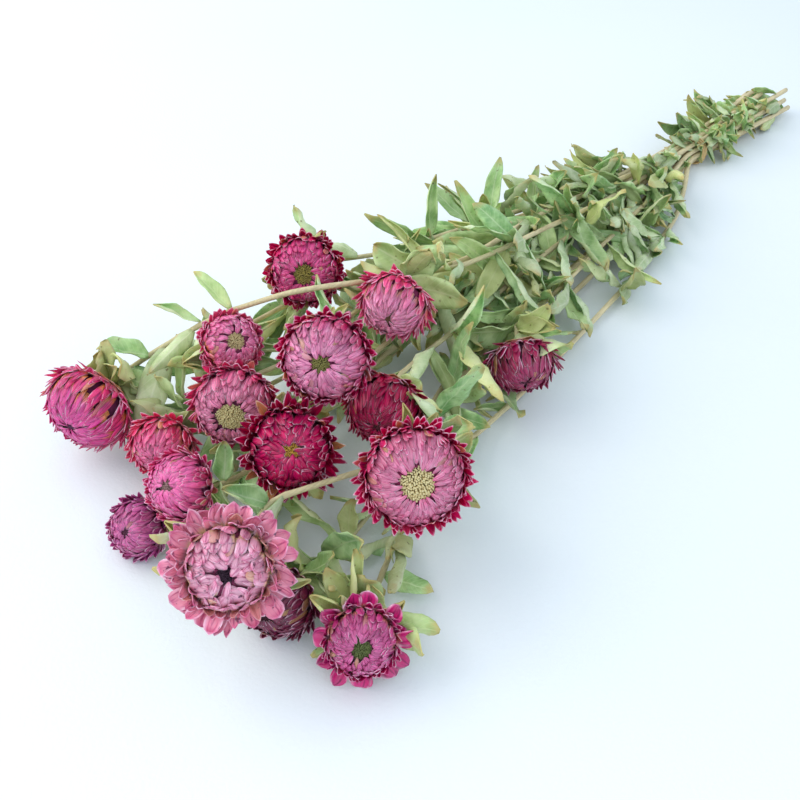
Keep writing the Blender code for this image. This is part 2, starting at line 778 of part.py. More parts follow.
def side_corners(route, distance, side):
    """The four corners of the stem side that a leaf at this distance grows from."""
    lower = stem_ring(route, distance - LEAF_ROOT_HALF)
    upper = stem_ring(route, distance + LEAF_ROOT_HALF)
    after = (side + 1) % STEM_SIDES
    return [lower[side], lower[after], upper[after], upper[side]]


def stem_mesh(name, route, leaves):
    """Points and triangles of the stem as a tube, with leaves growing from its sides."""
    stops = ring_distances(name, route)
    points = [point for stop in stops for point in stem_ring(route, stop)]
    roots = {(leaf.distance - LEAF_ROOT_HALF, leaf.side): leaf for leaf in leaves}
    last = len(points) - STEM_SIDES
    points += [route.at(0.0), route.at(route.total)]
    faces = []
    for side in range(STEM_SIDES):
        after = (side + 1) % STEM_SIDES
        faces += [(after, side, len(points) - 2), (last + side, last + after, len(points) - 1)]
    for row, stop in enumerate(stops[:-1]):
        for side in range(STEM_SIDES):
            after = (side + 1) % STEM_SIDES
            low, high = row * STEM_SIDES, (row + 1) * STEM_SIDES
            corners = [low + side, low + after, high + after, high + side]
            leaf = roots.get((stop, side))
            if leaf is None:
                faces += [tuple(corners[:3]), (corners[0], corners[2], corners[3])]
                continue
            leaf_points, leaf_faces = leaf_mesh([points[corner] for corner in corners], leaf)
            numbers = corners + list(range(len(points), len(points) + len(leaf_points) - 4))
            points += leaf_points[4:]
            faces += [tuple(numbers[i] for i in face) for face in leaf_faces]
    return points, faces


def stem_shape(name, route, leaves):
    shape = bmesh.new()
    points, faces = stem_mesh(name, route, leaves)
    verts = [shape.verts.new(point) for point in points]
    for face in faces:
        shape.faces.new([verts[i] for i in face])
    face_outwards(shape)
    return shape


def hides_a_face(points):
    """True where a blade stands in front of a head's open side."""
    for head in HEADS.values():
        for point in points:
            offset = point - Vector(head.at)
            ahead = offset.dot(head.axis)
            aside = (offset - head.axis * ahead).length
            if 0.1 * head.radius < ahead < FREE_AHEAD and aside < FREE_ASIDE * head.width:
                return True
    return False


def within_limits(points):
    for point in points:
        for (x_before, *before), (x_after, *after) in zip(LEAF_LIMITS, LEAF_LIMITS[1:]):
            if x_before <= point.x <= x_after:
                share = (point.x - x_before) / (x_after - x_before)
                low, high, top = (a + (b - a) * share for a, b in zip(before, after))
                if not (low < point.y < high and point.z < top):
                    return False
    return True


def leaf_is_clear(name, route, leaves, leaf, neighbours, showy=False):
    """True where a new leaf touches no other piece, no other leaf and not the surface."""
    body = leaf.body()
    if min(point.z for point in body[0]) < SEAT_GAP:
        return False
    if not showy and (hides_a_face(body[0][4:]) or not within_limits(body[0])):
        return False
    swollen = BVHTree.FromPolygons(*body)
    blade = BVHTree.FromPolygons(*leaf_mesh(side_corners(route, leaf.distance, leaf.side), leaf))
    for other, tree in neighbours.items():
        if other != name and (swollen.overlap(tree) or blade.overlap(tree)):
            return False
    return not crosses_itself(*stem_mesh(name, route, leaves + [leaf]))


def showy_leaf(route, distance, tip, width, dice, looseness):
    """A leaf set by hand, upper side to the sky; looseness lets it give way a little."""
    tip = Vector(tip)
    tip += Vector([dice.uniform(-1.0, 1.0) for _ in range(3)]) * SHOWY_TIP_PLAY * looseness
    side = side_towards(route, distance, tip - route.at(distance))
    root = leaf_root(route, distance, side)
    direction = (tip - root).normalized()
    face = (Vector((0.0, 0.0, 1.0)) - direction * direction.z).normalized()
    roll = math.radians(dice.uniform(-SHOWY_ROLL, SHOWY_ROLL) * (0.4 + looseness))
    face.rotate(Matrix.Rotation(roll, 3, direction))
    bow = face * dice.uniform(-0.15, 0.12) * (tip - root).length
    wave = dice.uniform(-LEAF_WAVE, LEAF_WAVE)
    fold = dice.uniform(0.15, 0.45)
    twist = dice.uniform(-SHOWY_TWIST, SHOWY_TWIST)
    return Leaf(distance, side, root, tip, bow, width, face, fold, wave, twist)


def place_showy_leaves(name, route, neighbours):
    """Leaves of one stem that are set by hand, each eased until it is clear of the rest."""
    leaves = []
    for number, (stem, distance, tip, width) in enumerate(SHOWY_LEAVES):
        if stem != name:
            continue
        for attempt in range(LEAF_TRIES):
            dice = random.Random(f"showy {number} {attempt}")
            leaf = showy_leaf(route, distance, tip, width, dice, attempt / LEAF_TRIES)
            if leaf_is_clear(name, route, leaves, leaf, neighbours, showy=True):
                leaves.append(leaf)
                neighbours[name] = BVHTree.FromPolygons(*stem_mesh(name, route, leaves))
                break
    return leaves


def draw_leaves(name, route, leaves, neighbours):
    """The other leaves of one stem: each is drawn again, shorter, until it is clear of the rest."""
    for place, (distance, count, calyx) in enumerate(leaf_distances(name, route)):
        sides_left = list(range(STEM_SIDES))
        for number in range(count):
            for attempt in range(LEAF_TRIES):
                dice = random.Random(f"leaf {name} {place} {number} {attempt}")
                side = dice.choice(sides_left)
                shrink = 1.0 - LEAF_SHRINK * attempt / LEAF_TRIES
                leaf = grown_leaf(route, distance, side, dice, shrink, calyx)
                if leaf_is_clear(name, route, leaves, leaf, neighbours):
                    leaves.append(leaf)
                    neighbours[name] = BVHTree.FromPolygons(*stem_mesh(name, route, leaves))
                    sides_left.remove(side)
                    break


def clear_scene():
    for item in list(bpy.data.objects):
        bpy.data.objects.remove(item, do_unlink=True)


def build():
    clear_scene()
    neighbours = {}
    bunch = bpy.data.objects.new("bunch", None)
    bpy.context.collection.objects.link(bunch)
    pieces = []
    for name, head in HEADS.items():
        bloom = bloom_shape(name, head)
        neighbours["bloom_" + name] = surface_of(bloom, head.place)
        bract = plain_material("bracts_" + name, head.colour, BRACT_ROUGHNESS)
        pieces.append(add_object("bloom_" + name, bloom, bract, head.place))
        florets = plain_material("florets_" + name, FLORET_OLIVE, FLORET_ROUGHNESS)
        pieces.append(add_object("disc_" + name, disc_shape(head), florets, head.place))
    tie = tie_shape()
    neighbours["tie"] = surface_of(tie)
    rubber = plain_material("rubber_band", RUBBER_AMBER, RUBBER_ROUGHNESS)
    pieces.append(add_object("tie", tie, rubber))
    routes = {name: stem_route(name) for name in STEMS}
    for name, route in routes.items():
        neighbours[name] = BVHTree.FromPolygons(*stem_mesh(name, route, []))
    leaves = {name: place_showy_leaves(name, route, neighbours) for name, route in routes.items()}
    for name, route in routes.items():
        draw_leaves(name, route, leaves[name], neighbours)
        foliage = plain_material("foliage_" + name, LEAF_GREEN, LEAF_ROUGHNESS)
        pieces.append(add_object("stem_" + name, stem_shape(name, route, leaves[name]), foliage))
    for piece in pieces:
        piece.parent = bunch
    bunch.location = -ORIGIN * MM


build()
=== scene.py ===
# %% [markdown]
# # A bunch of dried strawflowers, lying on a table
#
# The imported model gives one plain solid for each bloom, each tuft of florets and each leafy stem, and one
# for the tie. This lesson keeps their places and forms and lays fine dried paper over them: a bloom becomes
# rings of pleated bracts, a coarse blade becomes a waved and curled leaf, and a five-sided rod becomes a
# ribbed stalk. Nothing is measured from a picture file. Everything is modelled in millimetres and turned
# to metres at the end, because a bract is a few millimetres wide and such numbers are easy to read.

import math
import random
from dataclasses import dataclass

import bmesh
import bpy
from mathutils import Matrix, Vector, noise
from mathutils.bvhtree import BVHTree


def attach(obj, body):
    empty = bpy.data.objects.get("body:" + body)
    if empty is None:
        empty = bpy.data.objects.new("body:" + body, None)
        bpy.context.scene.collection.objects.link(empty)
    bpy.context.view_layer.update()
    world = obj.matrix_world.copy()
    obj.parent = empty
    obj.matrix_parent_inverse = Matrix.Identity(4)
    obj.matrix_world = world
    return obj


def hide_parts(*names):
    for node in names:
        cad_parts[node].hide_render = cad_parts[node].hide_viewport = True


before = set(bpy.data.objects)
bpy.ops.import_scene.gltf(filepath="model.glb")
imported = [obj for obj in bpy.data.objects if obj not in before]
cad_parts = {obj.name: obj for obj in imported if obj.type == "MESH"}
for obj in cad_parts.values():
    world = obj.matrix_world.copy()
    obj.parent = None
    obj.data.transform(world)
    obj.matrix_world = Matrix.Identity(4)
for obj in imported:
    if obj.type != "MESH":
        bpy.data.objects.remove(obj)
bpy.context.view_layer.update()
MM = 0.001
ORIGIN = Vector((-2.3, 7.5, 0.0))
UP = Vector((0.0, 0.0, 1.0))
print("solids in the frame:", len(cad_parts))

# %% [markdown]
# ## Camera
#
# The photograph looks down at about forty degrees on the heads, which point towards the viewer, while the
# stems run away to the upper right. A camera is an object that looks along its own -Z axis, so a tracking
# quaternion turns it to a direction. The lens is a little longer than a phone's, which keeps the near
# heads from swelling.

# %% Camera
CAMERA_PLACE = Vector((-417.0, -205.0, 298.0)) - ORIGIN
CAMERA_HEADING = math.radians(35.0)
CAMERA_DROP = math.radians(40.0)

level = math.cos(CAMERA_DROP)
gaze = Vector((level * math.cos(CAMERA_HEADING), level * math.sin(CAMERA_HEADING), -math.sin(CAMERA_DROP)))
camera = bpy.data.objects.new("camera", bpy.data.cameras.new("camera"))
camera.data.lens = 45.0
camera.data.sensor_width = 36.0
camera.data.clip_start = 0.01
camera.location = CAMERA_PLACE * MM
camera.rotation_euler = gaze.to_track_quat("-Z", "Y").to_euler()
bpy.context.collection.objects.link(camera)
bpy.context.scene.camera = camera
print("camera stands", round(CAMERA_PLACE.length), "mm from the middle of the bunch")

# %% [markdown]
# ## Colour and nodes
#
# Colours are written as sRGB hex values, the way a paint program shows them. Shaders work with linear
# light, so one function turns hex into linear. A second one adds a shader node, with its settings by name
# and its inputs as plain values or as links, so that each material below reads as a short recipe.


# %% Colour and nodes
def linear(hex_code, alpha=1.0):
    """Linear colour from an sRGB hex code."""
    channels = [int(hex_code[i : i + 2], 16) / 255.0 for i in (0, 2, 4)]
    return (*[c / 12.92 if c <= 0.04045 else ((c + 0.055) / 1.055) ** 2.4 for c in channels], alpha)


def add_node(tree, kind, inputs=None, **settings):
    """Add a node: settings are its properties, inputs its socket values or the sockets that feed it."""
    new = tree.nodes.new(kind)
    for key, value in settings.items():
        setattr(new, key, value)
    for socket, value in (inputs or {}).items():
        if isinstance(value, bpy.types.NodeSocket):
            tree.links.new(value, new.inputs[socket])
        else:
            new.inputs[socket].default_value = value
    return new


def start_material(name):
    """A new material with its node tree and its Principled shader."""
    material = bpy.data.materials.new(name)
    material.use_nodes = True
    return material, material.node_tree, material.node_tree.nodes["Principled BSDF"]


print("pure white stays", linear("FFFFFF")[:3])

# %% [markdown]
# ## Floor and light
#
# The bunch lies on a matte board painted white, with a faint orange-peel texture. The light is the soft
# light of a big window: one wide area light behind and to the left, a weaker one from the front, and a
# pale sky all round so that no shadow turns black. A wide light blurs the edge of every shadow.


# %% Floor and light
def painted_board():
    """Matte white paint on a board: rolled on, so it has soft grains about 1.5 mm across."""
    material, tree, shader = start_material("painted_board")
    place = add_node(tree, "ShaderNodeTexCoord")
    grain = add_node(tree, "ShaderNodeTexNoise", {"Vector": place.outputs["Object"], "Scale": 650.0, "Detail": 3.0})
    bump = add_node(
        tree, "ShaderNodeBump", {"Height": grain.outputs["Fac"], "Strength": 0.35, "Distance": 0.0004}
    )
    cloud = add_node(tree, "ShaderNodeTexNoise", {"Vector": place.outputs["Object"], "Scale": 3.0, "Detail": 1.0})
    tint = add_node(
        tree,
        "ShaderNodeMix",
        {0: cloud.outputs["Fac"], 6: linear("EBF0F3"), 7: linear("E3EAEE")},
        data_type="RGBA",
    )
    tree.links.new(tint.outputs[2], shader.inputs["Base Color"])
    tree.links.new(bump.outputs["Normal"], shader.inputs["Normal"])
    shader.inputs["Roughness"].default_value = 0.75
    return material


def add_window(name, place, aim, width, watts, tint):
    """A square soft light that looks from a place to an aim, both in metres."""
    light = bpy.data.lights.new(name, "AREA")
    light.size = width
    light.energy = watts
    light.color = linear(tint)[:3]
    lamp = bpy.data.objects.new(name, light)
    lamp.location = place
    lamp.rotation_euler = (Vector(aim) - Vector(place)).to_track_quat("-Z", "Y").to_euler()
    bpy.context.collection.objects.link(lamp)
    return lamp


sheet = bmesh.new()
bmesh.ops.create_grid(sheet, x_segments=8, y_segments=8, size=3.0)
board = bpy.data.objects.new("board", bpy.data.meshes.new("board"))
sheet.to_mesh(board.data)
sheet.free()
board.data.transform(Matrix.Translation((0.0, 0.0, -0.0002)))
board.data.materials.append(painted_board())
bpy.context.collection.objects.link(board)

add_window("back_window", (-0.55, 0.95, 0.95), (-0.1, 0.0, 0.0), 1.4, 12.8, "FFF8EF")
add_window("front_fill", (-0.9, -0.7, 0.7), (-0.1, 0.0, 0.0), 1.2, 4.4, "F6F9FF")
sky = bpy.data.worlds.new("sky")
sky.use_nodes = True
sky.node_tree.nodes["Background"].inputs["Color"].default_value = linear("E2EFFC")
sky.node_tree.nodes["Background"].inputs["Strength"].default_value = 1.02
bpy.context.scene.world = sky
bpy.context.scene.view_settings.view_transform = "Standard"

# %% [markdown]
# ## Paper laid over a form
#
# Bracts and leaves are all thin paper. Each one starts as a flat grid, one of Blender's own shapes, with a
# UV map that comes with it: U runs across the blade and V from root to tip. A small function then says
# where each point of the grid goes. Many blades share one mesh, so each point also carries a few numbers
# that the material reads: a random one for the blade, its place in the bloom, and how withered it is.


# %% Paper
@dataclass
class Paper:
    """A mesh that collects blades, with the numbers that its points carry."""

    shape: bmesh.types.BMesh
    uv: object
    dice: object
    inward: object
    wither: object


def start_paper():
    shape = bmesh.new()
    uv = shape.loops.layers.uv.new("UVMap")
    dice = shape.verts.layers.float.new("dice")
    inward = shape.verts.layers.float.new("inward")
    wither = shape.verts.layers.float.new("wither")
    return Paper(shape, uv, dice, inward, wither)


def lay_blade(paper, across, along, place, dice, inward=0.0, wither=0.0, material=0):
    """One blade: place(u, v) gives each point, u from -1 to 1 across and v from 0 to 1 along."""
    grid = bmesh.ops.create_grid(paper.shape, x_segments=across, y_segments=along, size=1.0, calc_uvs=True)
    for vert in grid["verts"]:
        vert.co = place(vert.co.x, 0.5 * (vert.co.y + 1.0))
        vert[paper.dice] = dice
        vert[paper.inward] = inward
        vert[paper.wither] = wither
    if material:
        for face in {face for vert in grid["verts"] for face in vert.link_faces}:
            face.material_index = material
    return grid["verts"]


def finish_piece(name, shape, materials, node, wall=0.0, back_material=0):
    """Make the object, give paper its thickness, and let it stand for a solid of the frame."""
    for vert in shape.verts:
        vert.co.z = max(vert.co.z, 0.5 * wall + 0.05)
    bmesh.ops.scale(shape, vec=(MM, MM, MM), verts=shape.verts)
    mesh = bpy.data.meshes.new(name)
    shape.to_mesh(mesh)
    shape.free()
    for material in materials:
        mesh.materials.append(material)
    mesh.shade_smooth()
    piece = bpy.data.objects.new(name, mesh)
    bpy.context.collection.objects.link(piece)
    if wall:
        solid = piece.modifiers.new("thickness", "SOLIDIFY")
        solid.thickness = wall * MM
        solid.offset = 0.0
        solid.material_offset = back_material
    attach(piece, "root")
    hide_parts(node)
    return piece


print("paper carries: UVMap, dice, inward, wither")

# %% [markdown]
# ## The blooms' measures
#
# What looks like a petal on a strawflower is a bract, a stiff papery leaf. Hundreds of them sit in spiral
# rings round a globe: the inner ones arch over the tuft of florets and roll into the hole, the outer ones
# stand away. Each head repeats the place, size and facing of its solid, and then names its own colours:
# outer and inner bracts, their roots and tips, the fine lines on them, and the heart.


# %% The blooms' measures
@dataclass
class Bloom:
    """One head: place, size and set, as in its solid, then its colours and how its bracts behave."""

    at: tuple
    width: float
    facing: tuple
    petals: int
    globe: float
    lean: tuple
    hole: float
    outer: str
    inner: str
    root: str
    tip: str
    line: str
    heart: str
    heart_tip: str
    bracts: int = 120
    bract_width: float = 3.0
    flare: float = 1.2
    disorder: float = 0.5
    blunt: float = 0.6
    mouth: float = 0.7
    rays: int = 0
    ray_width: float = 4.0
    spots: float = 0.0

    @property
    def radius(self):
        return 0.5 * self.width * self.globe

    @property
    def axis(self):
        azimuth, elevation = (math.radians(angle) for angle in self.facing)
        flat = math.cos(elevation)
        return Vector((flat * math.cos(azimuth), flat * math.sin(azimuth), math.sin(elevation)))

    @property
    def place(self):
        turn = self.axis.to_track_quat("Z", "Y")
        return Matrix.Translation(Vector(self.at) - ORIGIN) @ turn.to_matrix().to_4x4()

    @property
    def rim(self):
        """Angle from the axis at which the hole begins."""
        return math.degrees(math.asin(self.hole))


# tip is the colour towards each bract's tip: a deeper stain on most heads, and painted highlight on heads whose tip is
# paler than the body, such as 04 and 09
BLOOMS = {
    "01": Bloom(
        (-230, 84, 27), 43, (189, -5), 24, 0.86, (75, 50), 0.30,
        outer="DE4D7C", inner="DC5697", root="ECA750", tip="BA336A", line="81255C", heart="431A35",
        heart_tip="6A3A5A", bracts=165, bract_width=3.0, flare=1.6, disorder=1.0, blunt=0.2, mouth=0.5,
        rays=1, ray_width=3.6,
    ),
    "02": Bloom(
        (-183, 45, 48), 31, (246, 38), 15, 0.80, (64, 40), 0.34,
        outer="EC618C", inner="EC7EA9", root="ECB54C", tip="DC8CA4", line="963564", heart="A18755",
        heart_tip="D8C898", bracts=110, bract_width=3.2, flare=0.9, disorder=0.8, blunt=0.8, mouth=1.0,
        rays=1, ray_width=4.6,
    ),
    "03": Bloom(
        (-130, 48, 55), 36, (218, 21), 18, 0.86, (66, 25), 0.34,
        outer="CA2055", inner="D8568A", root="CB6E89", tip="B01850", line="6F1547", heart="595238",
        heart_tip="A8984A", bracts=170, bract_width=2.9, flare=2.0, disorder=0.5, blunt=0.9, mouth=0.9,
        rays=1, ray_width=3.6,
    ),
    "04": Bloom(
        (-192, -14, 72), 38, (208, 24), 18, 0.86, (64, 27), 0.24,
        outer="C01450", inner="DA8AAA", root="CE5A7E", tip="D0668E", line="87205A", heart="524833",
        heart_tip="8E8A48", bracts=210, bract_width=2.6, flare=1.6, disorder=0.6, blunt=0.9, mouth=0.9,
        rays=1, ray_width=4.0,
    ),
    "05": Bloom(
        (-132, -3, 58), 34, (198, -7), 20, 0.86, (70, 45), 0.26,
        outer="EC5C86", inner="EC98BB", root="ECBC97", tip="EC8CA8", line="AC3F76", heart="674E41",
        heart_tip="8A6A50", bracts=150, bract_width=2.9, flare=2.2, disorder=0.9, blunt=0.4, mouth=0.4,
        rays=1, ray_width=3.8,
    ),
    "06": Bloom(
        (-207, 22, 42), 37, (214, 12), 18, 0.86, (68, 28), 0.42,
        outer="DB4975", inner="E687A7", root="BC5B79", tip="944062", line="6C1F49", heart="B89E61",
        heart_tip="D2C894", bracts=160, bract_width=2.9, flare=2.4, disorder=0.6, blunt=0.8, mouth=1.0,
        rays=1, ray_width=4.0,
    ),
    "07": Bloom(
        (-218, -16, 47), 36, (223, 37), 18, 0.86, (64, 26), 0.26,
        outer="AA0C3E", inner="C2225A", root="AC4569", tip="852454", line="4C0C2F", heart="742440",
        heart_tip="D8B040", bracts=165, bract_width=3.0, flare=2.8, disorder=0.9, blunt=0.8, mouth=0.6,
        spots=0.7,
        rays=1, ray_width=4.0,
    ),
    "08": Bloom(
        (-170, -25, 38), 37, (197, -6), 18, 0.86, (66, 25), 0.30,
        outer="AD0C40", inner="C5225D", root="BA5774", tip="7A1440", line="4B0922", heart="3F0C1E",
        heart_tip="7A3A48", bracts=165, bract_width=2.9, flare=2.4, disorder=0.8, blunt=0.6, mouth=0.5,
        rays=1, ray_width=3.8,
    ),
    "09": Bloom(
        (-208, -65, 52), 42, (220, 30), 20, 0.86, (64, 30), 0.40,
        outer="C4104E", inner="D4829E", root="DA7296", tip="D0628A", line="9A2258", heart="C4A669",
        heart_tip="DCD09E", bracts=240, bract_width=2.7, flare=2.6, disorder=0.5, blunt=0.85, mouth=0.96,
        rays=1, ray_width=4.0,
    ),
    "10": Bloom(
        (-225, 48, 20), 31, (208, 8), 16, 0.86, (66, 25), 0.28,
        outer="EC4E75", inner="EC739E", root="E59174", tip="E08AA0", line="952F55", heart="662841",
        heart_tip="8A4A58", bracts=160, bract_width=2.5, flare=1.8, disorder=0.6, blunt=0.8, mouth=0.5,
    ),
    "11": Bloom(
        (-249, 11, 37), 30, (184, 41), 16, 0.86, (62, 22), 0.30,
        outer="D04A74", inner="EC71A7", root="C65980", tip="DE709C", line="953669", heart="744960",
        heart_tip="A08078", bracts=165, bract_width=2.4, flare=1.2, disorder=0.5, blunt=0.8, mouth=0.6,
    ),
    "12": Bloom(
        (-258, 30, 11), 27, (188, 30), 16, 0.86, (68, 38), 0.26,
        outer="A84A84", inner="CF699A", root="9B5471", tip="A8588A", line="5D1E54", heart="4B1D35",
        heart_tip="6A3A50", bracts=125, bract_width=2.6, flare=1.0, disorder=0.6, blunt=0.9, mouth=0.6,
    ),
    "13": Bloom(
        (-276, -39, 51), 45, (221, 36), 17, 0.66, (84, 94), 0.22,
        outer="EA9CB0", inner="E6A8BC", root="ECD192", tip="C2487A", line="A6426F", heart="20101D",
        heart_tip="3A2034", bracts=115, bract_width=4.2, flare=2.2, disorder=1.3, blunt=0.85, mouth=0.8,
        rays=2, ray_width=6.8, spots=1.0,
    ),
    "14": Bloom(
        (-256, -40, 15), 32, (190, 12), 16, 0.86, (66, 30), 0.30,
        outer="6C1C3A", inner="722444", root="7A3B44", tip="48121F", line="30091A", heart="24080F",
        heart_tip="4A1A2A", bracts=130, bract_width=3.0, flare=1.8, disorder=0.6, blunt=0.9, mouth=0.6,
        rays=1, ray_width=3.8,
    ),
    "15": Bloom(
        (-254, -75, 16.4), 38, (215, 33), 11, 0.66, (80, 92), 0.34,
        outer="C63878", inner="CC6494", root="ECA482", tip="B85080", line="641144", heart="41472D",
        heart_tip="6A7640", bracts=120, bract_width=2.6, flare=0.9, disorder=0.9, blunt=0.7, mouth=0.8,
        rays=1, ray_width=8.4,
    ),
    "16": Bloom(
        (-99, -48.5, 26), 34, (221, -21), 18, 0.86, (72, 45), 0.30,
        outer="A22952", inner="A33B62", root="B2696E", tip="7C1D3F", line="4F1731", heart="3D1324",
        heart_tip="6A3048", bracts=120, bract_width=3.3, flare=2.2, disorder=0.9, blunt=0.5, mouth=0.5,
        rays=1, ray_width=4.0,
    ),
}
print("heads:", len(BLOOMS), "from", min(b.width for b in BLOOMS.values()), "to", max(b.width for b in BLOOMS.values()))

# %% [markdown]
# ## Dried bract
#
# A dried strawflower bract is shiny, silica-stiffened paper: satin, a little see-through, with fine lines
# from root to tip, a pale edge that is partly wear and partly painted highlight, and a stain of another colour
# at the tip: deeper on most heads and paler on some, where the paleness is painted highlight. The lines are a
# noise pattern stretched along V, so that they follow each bract however it curves. They are about 0.25 mm
# apart on the real one and twice that here, because finer lines wouldn't show in the render.


# %% Dried bract
def dried_bract(name, bloom):
    """Satin, lined, slightly translucent paper in one head's own colours."""
    material, tree, shader = start_material(name)
    uv = add_node(tree, "ShaderNodeUVMap", uv_map="UVMap")
    split = add_node(tree, "ShaderNodeSeparateXYZ", {"Vector": uv.outputs["UV"]})
    dice = add_node(tree, "ShaderNodeAttribute", attribute_name="dice")
    inward = add_node(tree, "ShaderNodeAttribute", attribute_name="inward")
    wither = add_node(tree, "ShaderNodeAttribute", attribute_name="wither")
    place = add_node(tree, "ShaderNodeTexCoord")

    depth = add_node(
        tree, "ShaderNodeMapRange", {"Value": inward.outputs["Fac"], "From Min": 0.48, "From Max": 0.84}
    )
    body = add_node(
        tree,
        "ShaderNodeMix",
        {0: depth.outputs["Result"], 6: linear(bloom.outer), 7: linear(bloom.inner)},
        data_type="RGBA",
    )
    near_root = add_node(
        tree,
        "ShaderNodeMapRange",
        {"Value": split.outputs["Y"], "From Min": 0.36, "From Max": 0.06, "To Max": 0.85},
        interpolation_type="SMOOTHSTEP",
    )
    rooted = add_node(
        tree,
        "ShaderNodeMix",
        {0: near_root.outputs["Result"], 6: body.outputs[2], 7: linear(bloom.root)},
        data_type="RGBA",
    )
    # tip colour towards the tip: a real stain where it is deeper than the body, painted highlight where it is paler
    tip_stain_and_highlight = add_node(
        tree,
        "ShaderNodeMapRange",
        {"Value": split.outputs["Y"], "From Min": 0.66, "From Max": 1.0, "To Max": 0.75},
        interpolation_type="SMOOTHSTEP",
    )
    tipped = add_node(
        tree,
        "ShaderNodeMix",
        {0: tip_stain_and_highlight.outputs["Result"], 6: rooted.outputs[2], 7: linear(bloom.tip)},
        data_type="RGBA",
    )

    across = add_node(tree, "ShaderNodeMath", {0: split.outputs["X"], 1: 6.0}, operation="MULTIPLY")
    along = add_node(tree, "ShaderNodeMath", {0: split.outputs["Y"], 1: 1.3}, operation="MULTIPLY")
    other = add_node(tree, "ShaderNodeMath", {0: dice.outputs["Fac"], 1: 50.0}, operation="MULTIPLY")
    grain = add_node(
        tree,
        "ShaderNodeCombineXYZ",
        {"X": across.outputs[0], "Y": along.outputs[0], "Z": other.outputs[0]},
    )
    lines = add_node(
        tree, "ShaderNodeTexNoise", {"Vector": grain.outputs["Vector"], "Scale": 1.0, "Detail": 3.0}
    )
    drawn = add_node(
        tree,
        "ShaderNodeMapRange",
        {"Value": lines.outputs["Fac"], "From Min": 0.48, "From Max": 0.66, "To Max": 0.75},
        interpolation_type="SMOOTHSTEP",
    )
    lined = add_node(
        tree,
        "ShaderNodeMix",
        {0: drawn.outputs["Result"], 6: tipped.outputs[2], 7: linear(bloom.line)},
        data_type="RGBA",
    )

    # pale edge along the sides and at the tip, broken into patches: partly a worn paper margin, partly painted
    # highlight where the edges catch the light
    centred = add_node(tree, "ShaderNodeMath", {0: split.outputs["X"], 1: 0.5}, operation="SUBTRACT")
    aside = add_node(tree, "ShaderNodeMath", {0: centred.outputs[0]}, operation="ABSOLUTE")
    wear_and_highlight_band = add_node(
        tree,
        "ShaderNodeMapRange",
        {"Value": aside.outputs[0], "From Min": 0.34, "From Max": 0.48},
    )
    at_tip = add_node(
        tree, "ShaderNodeMapRange", {"Value": split.outputs["Y"], "From Min": 0.90, "From Max": 0.97}
    )
    rim = add_node(
        tree, "ShaderNodeMath", {0: wear_and_highlight_band.outputs["Result"], 1: at_tip.outputs["Result"]}, operation="MAXIMUM"
    )
    patches = add_node(tree, "ShaderNodeTexNoise", {"Vector": place.outputs["Object"], "Scale": 230.0, "Detail": 1.0})
    wear_and_highlight_patches = add_node(
        tree, "ShaderNodeMapRange", {"Value": patches.outputs["Fac"], "From Min": 0.42, "From Max": 0.62, "To Max": 0.75}
    )
    wear_and_highlight_edge = add_node(
        tree, "ShaderNodeMath", {0: rim.outputs[0], 1: wear_and_highlight_patches.outputs["Result"]}, operation="MULTIPLY"
    )
    edged = add_node(
        tree,
        "ShaderNodeMix",
        {0: wear_and_highlight_edge.outputs[0], 6: lined.outputs[2], 7: linear("F2CCDC")},
        data_type="RGBA",
    )
    straw = add_node(
        tree,
        "ShaderNodeMix",
        {0: wither.outputs["Fac"], 6: edged.outputs[2], 7: linear("B79A5C")},
        data_type="RGBA",
    )

    specks = add_node(
        tree, "ShaderNodeTexNoise", {"Vector": place.outputs["Object"], "Scale": 420.0, "Detail": 2.0}
    )
    spotted = add_node(
        tree,
        "ShaderNodeMapRange",
        {"Value": specks.outputs["Fac"], "From Min": 0.63, "From Max": 0.70, "To Max": 0.35 + 0.5 * bloom.spots},
    )
    stained = add_node(
        tree,
        "ShaderNodeMix",
        {0: spotted.outputs["Result"], 6: straw.outputs[2], 7: linear("4E2A48")},
        data_type="RGBA",
    )
    shade = add_node(
        tree, "ShaderNodeMapRange", {"Value": dice.outputs["Fac"], "To Min": 0.76, "To Max": 1.24}
    )
    toned = add_node(
        tree,
        "ShaderNodeHueSaturation",
        {"Color": stained.outputs[2], "Value": shade.outputs["Result"], "Saturation": 1.05},
    )
    bump = add_node(
        tree, "ShaderNodeBump", {"Height": lines.outputs["Fac"], "Strength": 0.6, "Distance": 0.0003}
    )
    tree.links.new(toned.outputs["Color"], shader.inputs["Base Color"])
    tree.links.new(bump.outputs["Normal"], shader.inputs["Normal"])
    shader.inputs["Roughness"].default_value = 0.36
    shader.inputs["Subsurface Weight"].default_value = 0.22
    shader.inputs["Subsurface Radius"].default_value = (1.0, 0.4, 0.5)
    shader.inputs["Subsurface Scale"].default_value = 0.0015
    return material


bract_materials = {name: dried_bract("dried_bract_" + name, bloom) for name, bloom in BLOOMS.items()}
print("bract materials:", len(bract_materials))

# %% [markdown]
# ## The core under the bracts
#
# Between the bracts one must not look through the head, so each bloom gets a plain closed core. Spinning
# a half outline round the axis makes it. The outline goes from the base over the belly and the shoulder
# down into the hole. The ends lie on the axis, so the spin is closed with its doubles merged. Its finish
# is painted shade for the gaps between the bracts: the head's darkest colour, a little mottled, with no shine.

# %% Core
CROWN_HEIGHT = 0.80
BELLY_DEPTH = 0.62
CORE_SHARE = 0.84
CORE_SIDES = 20


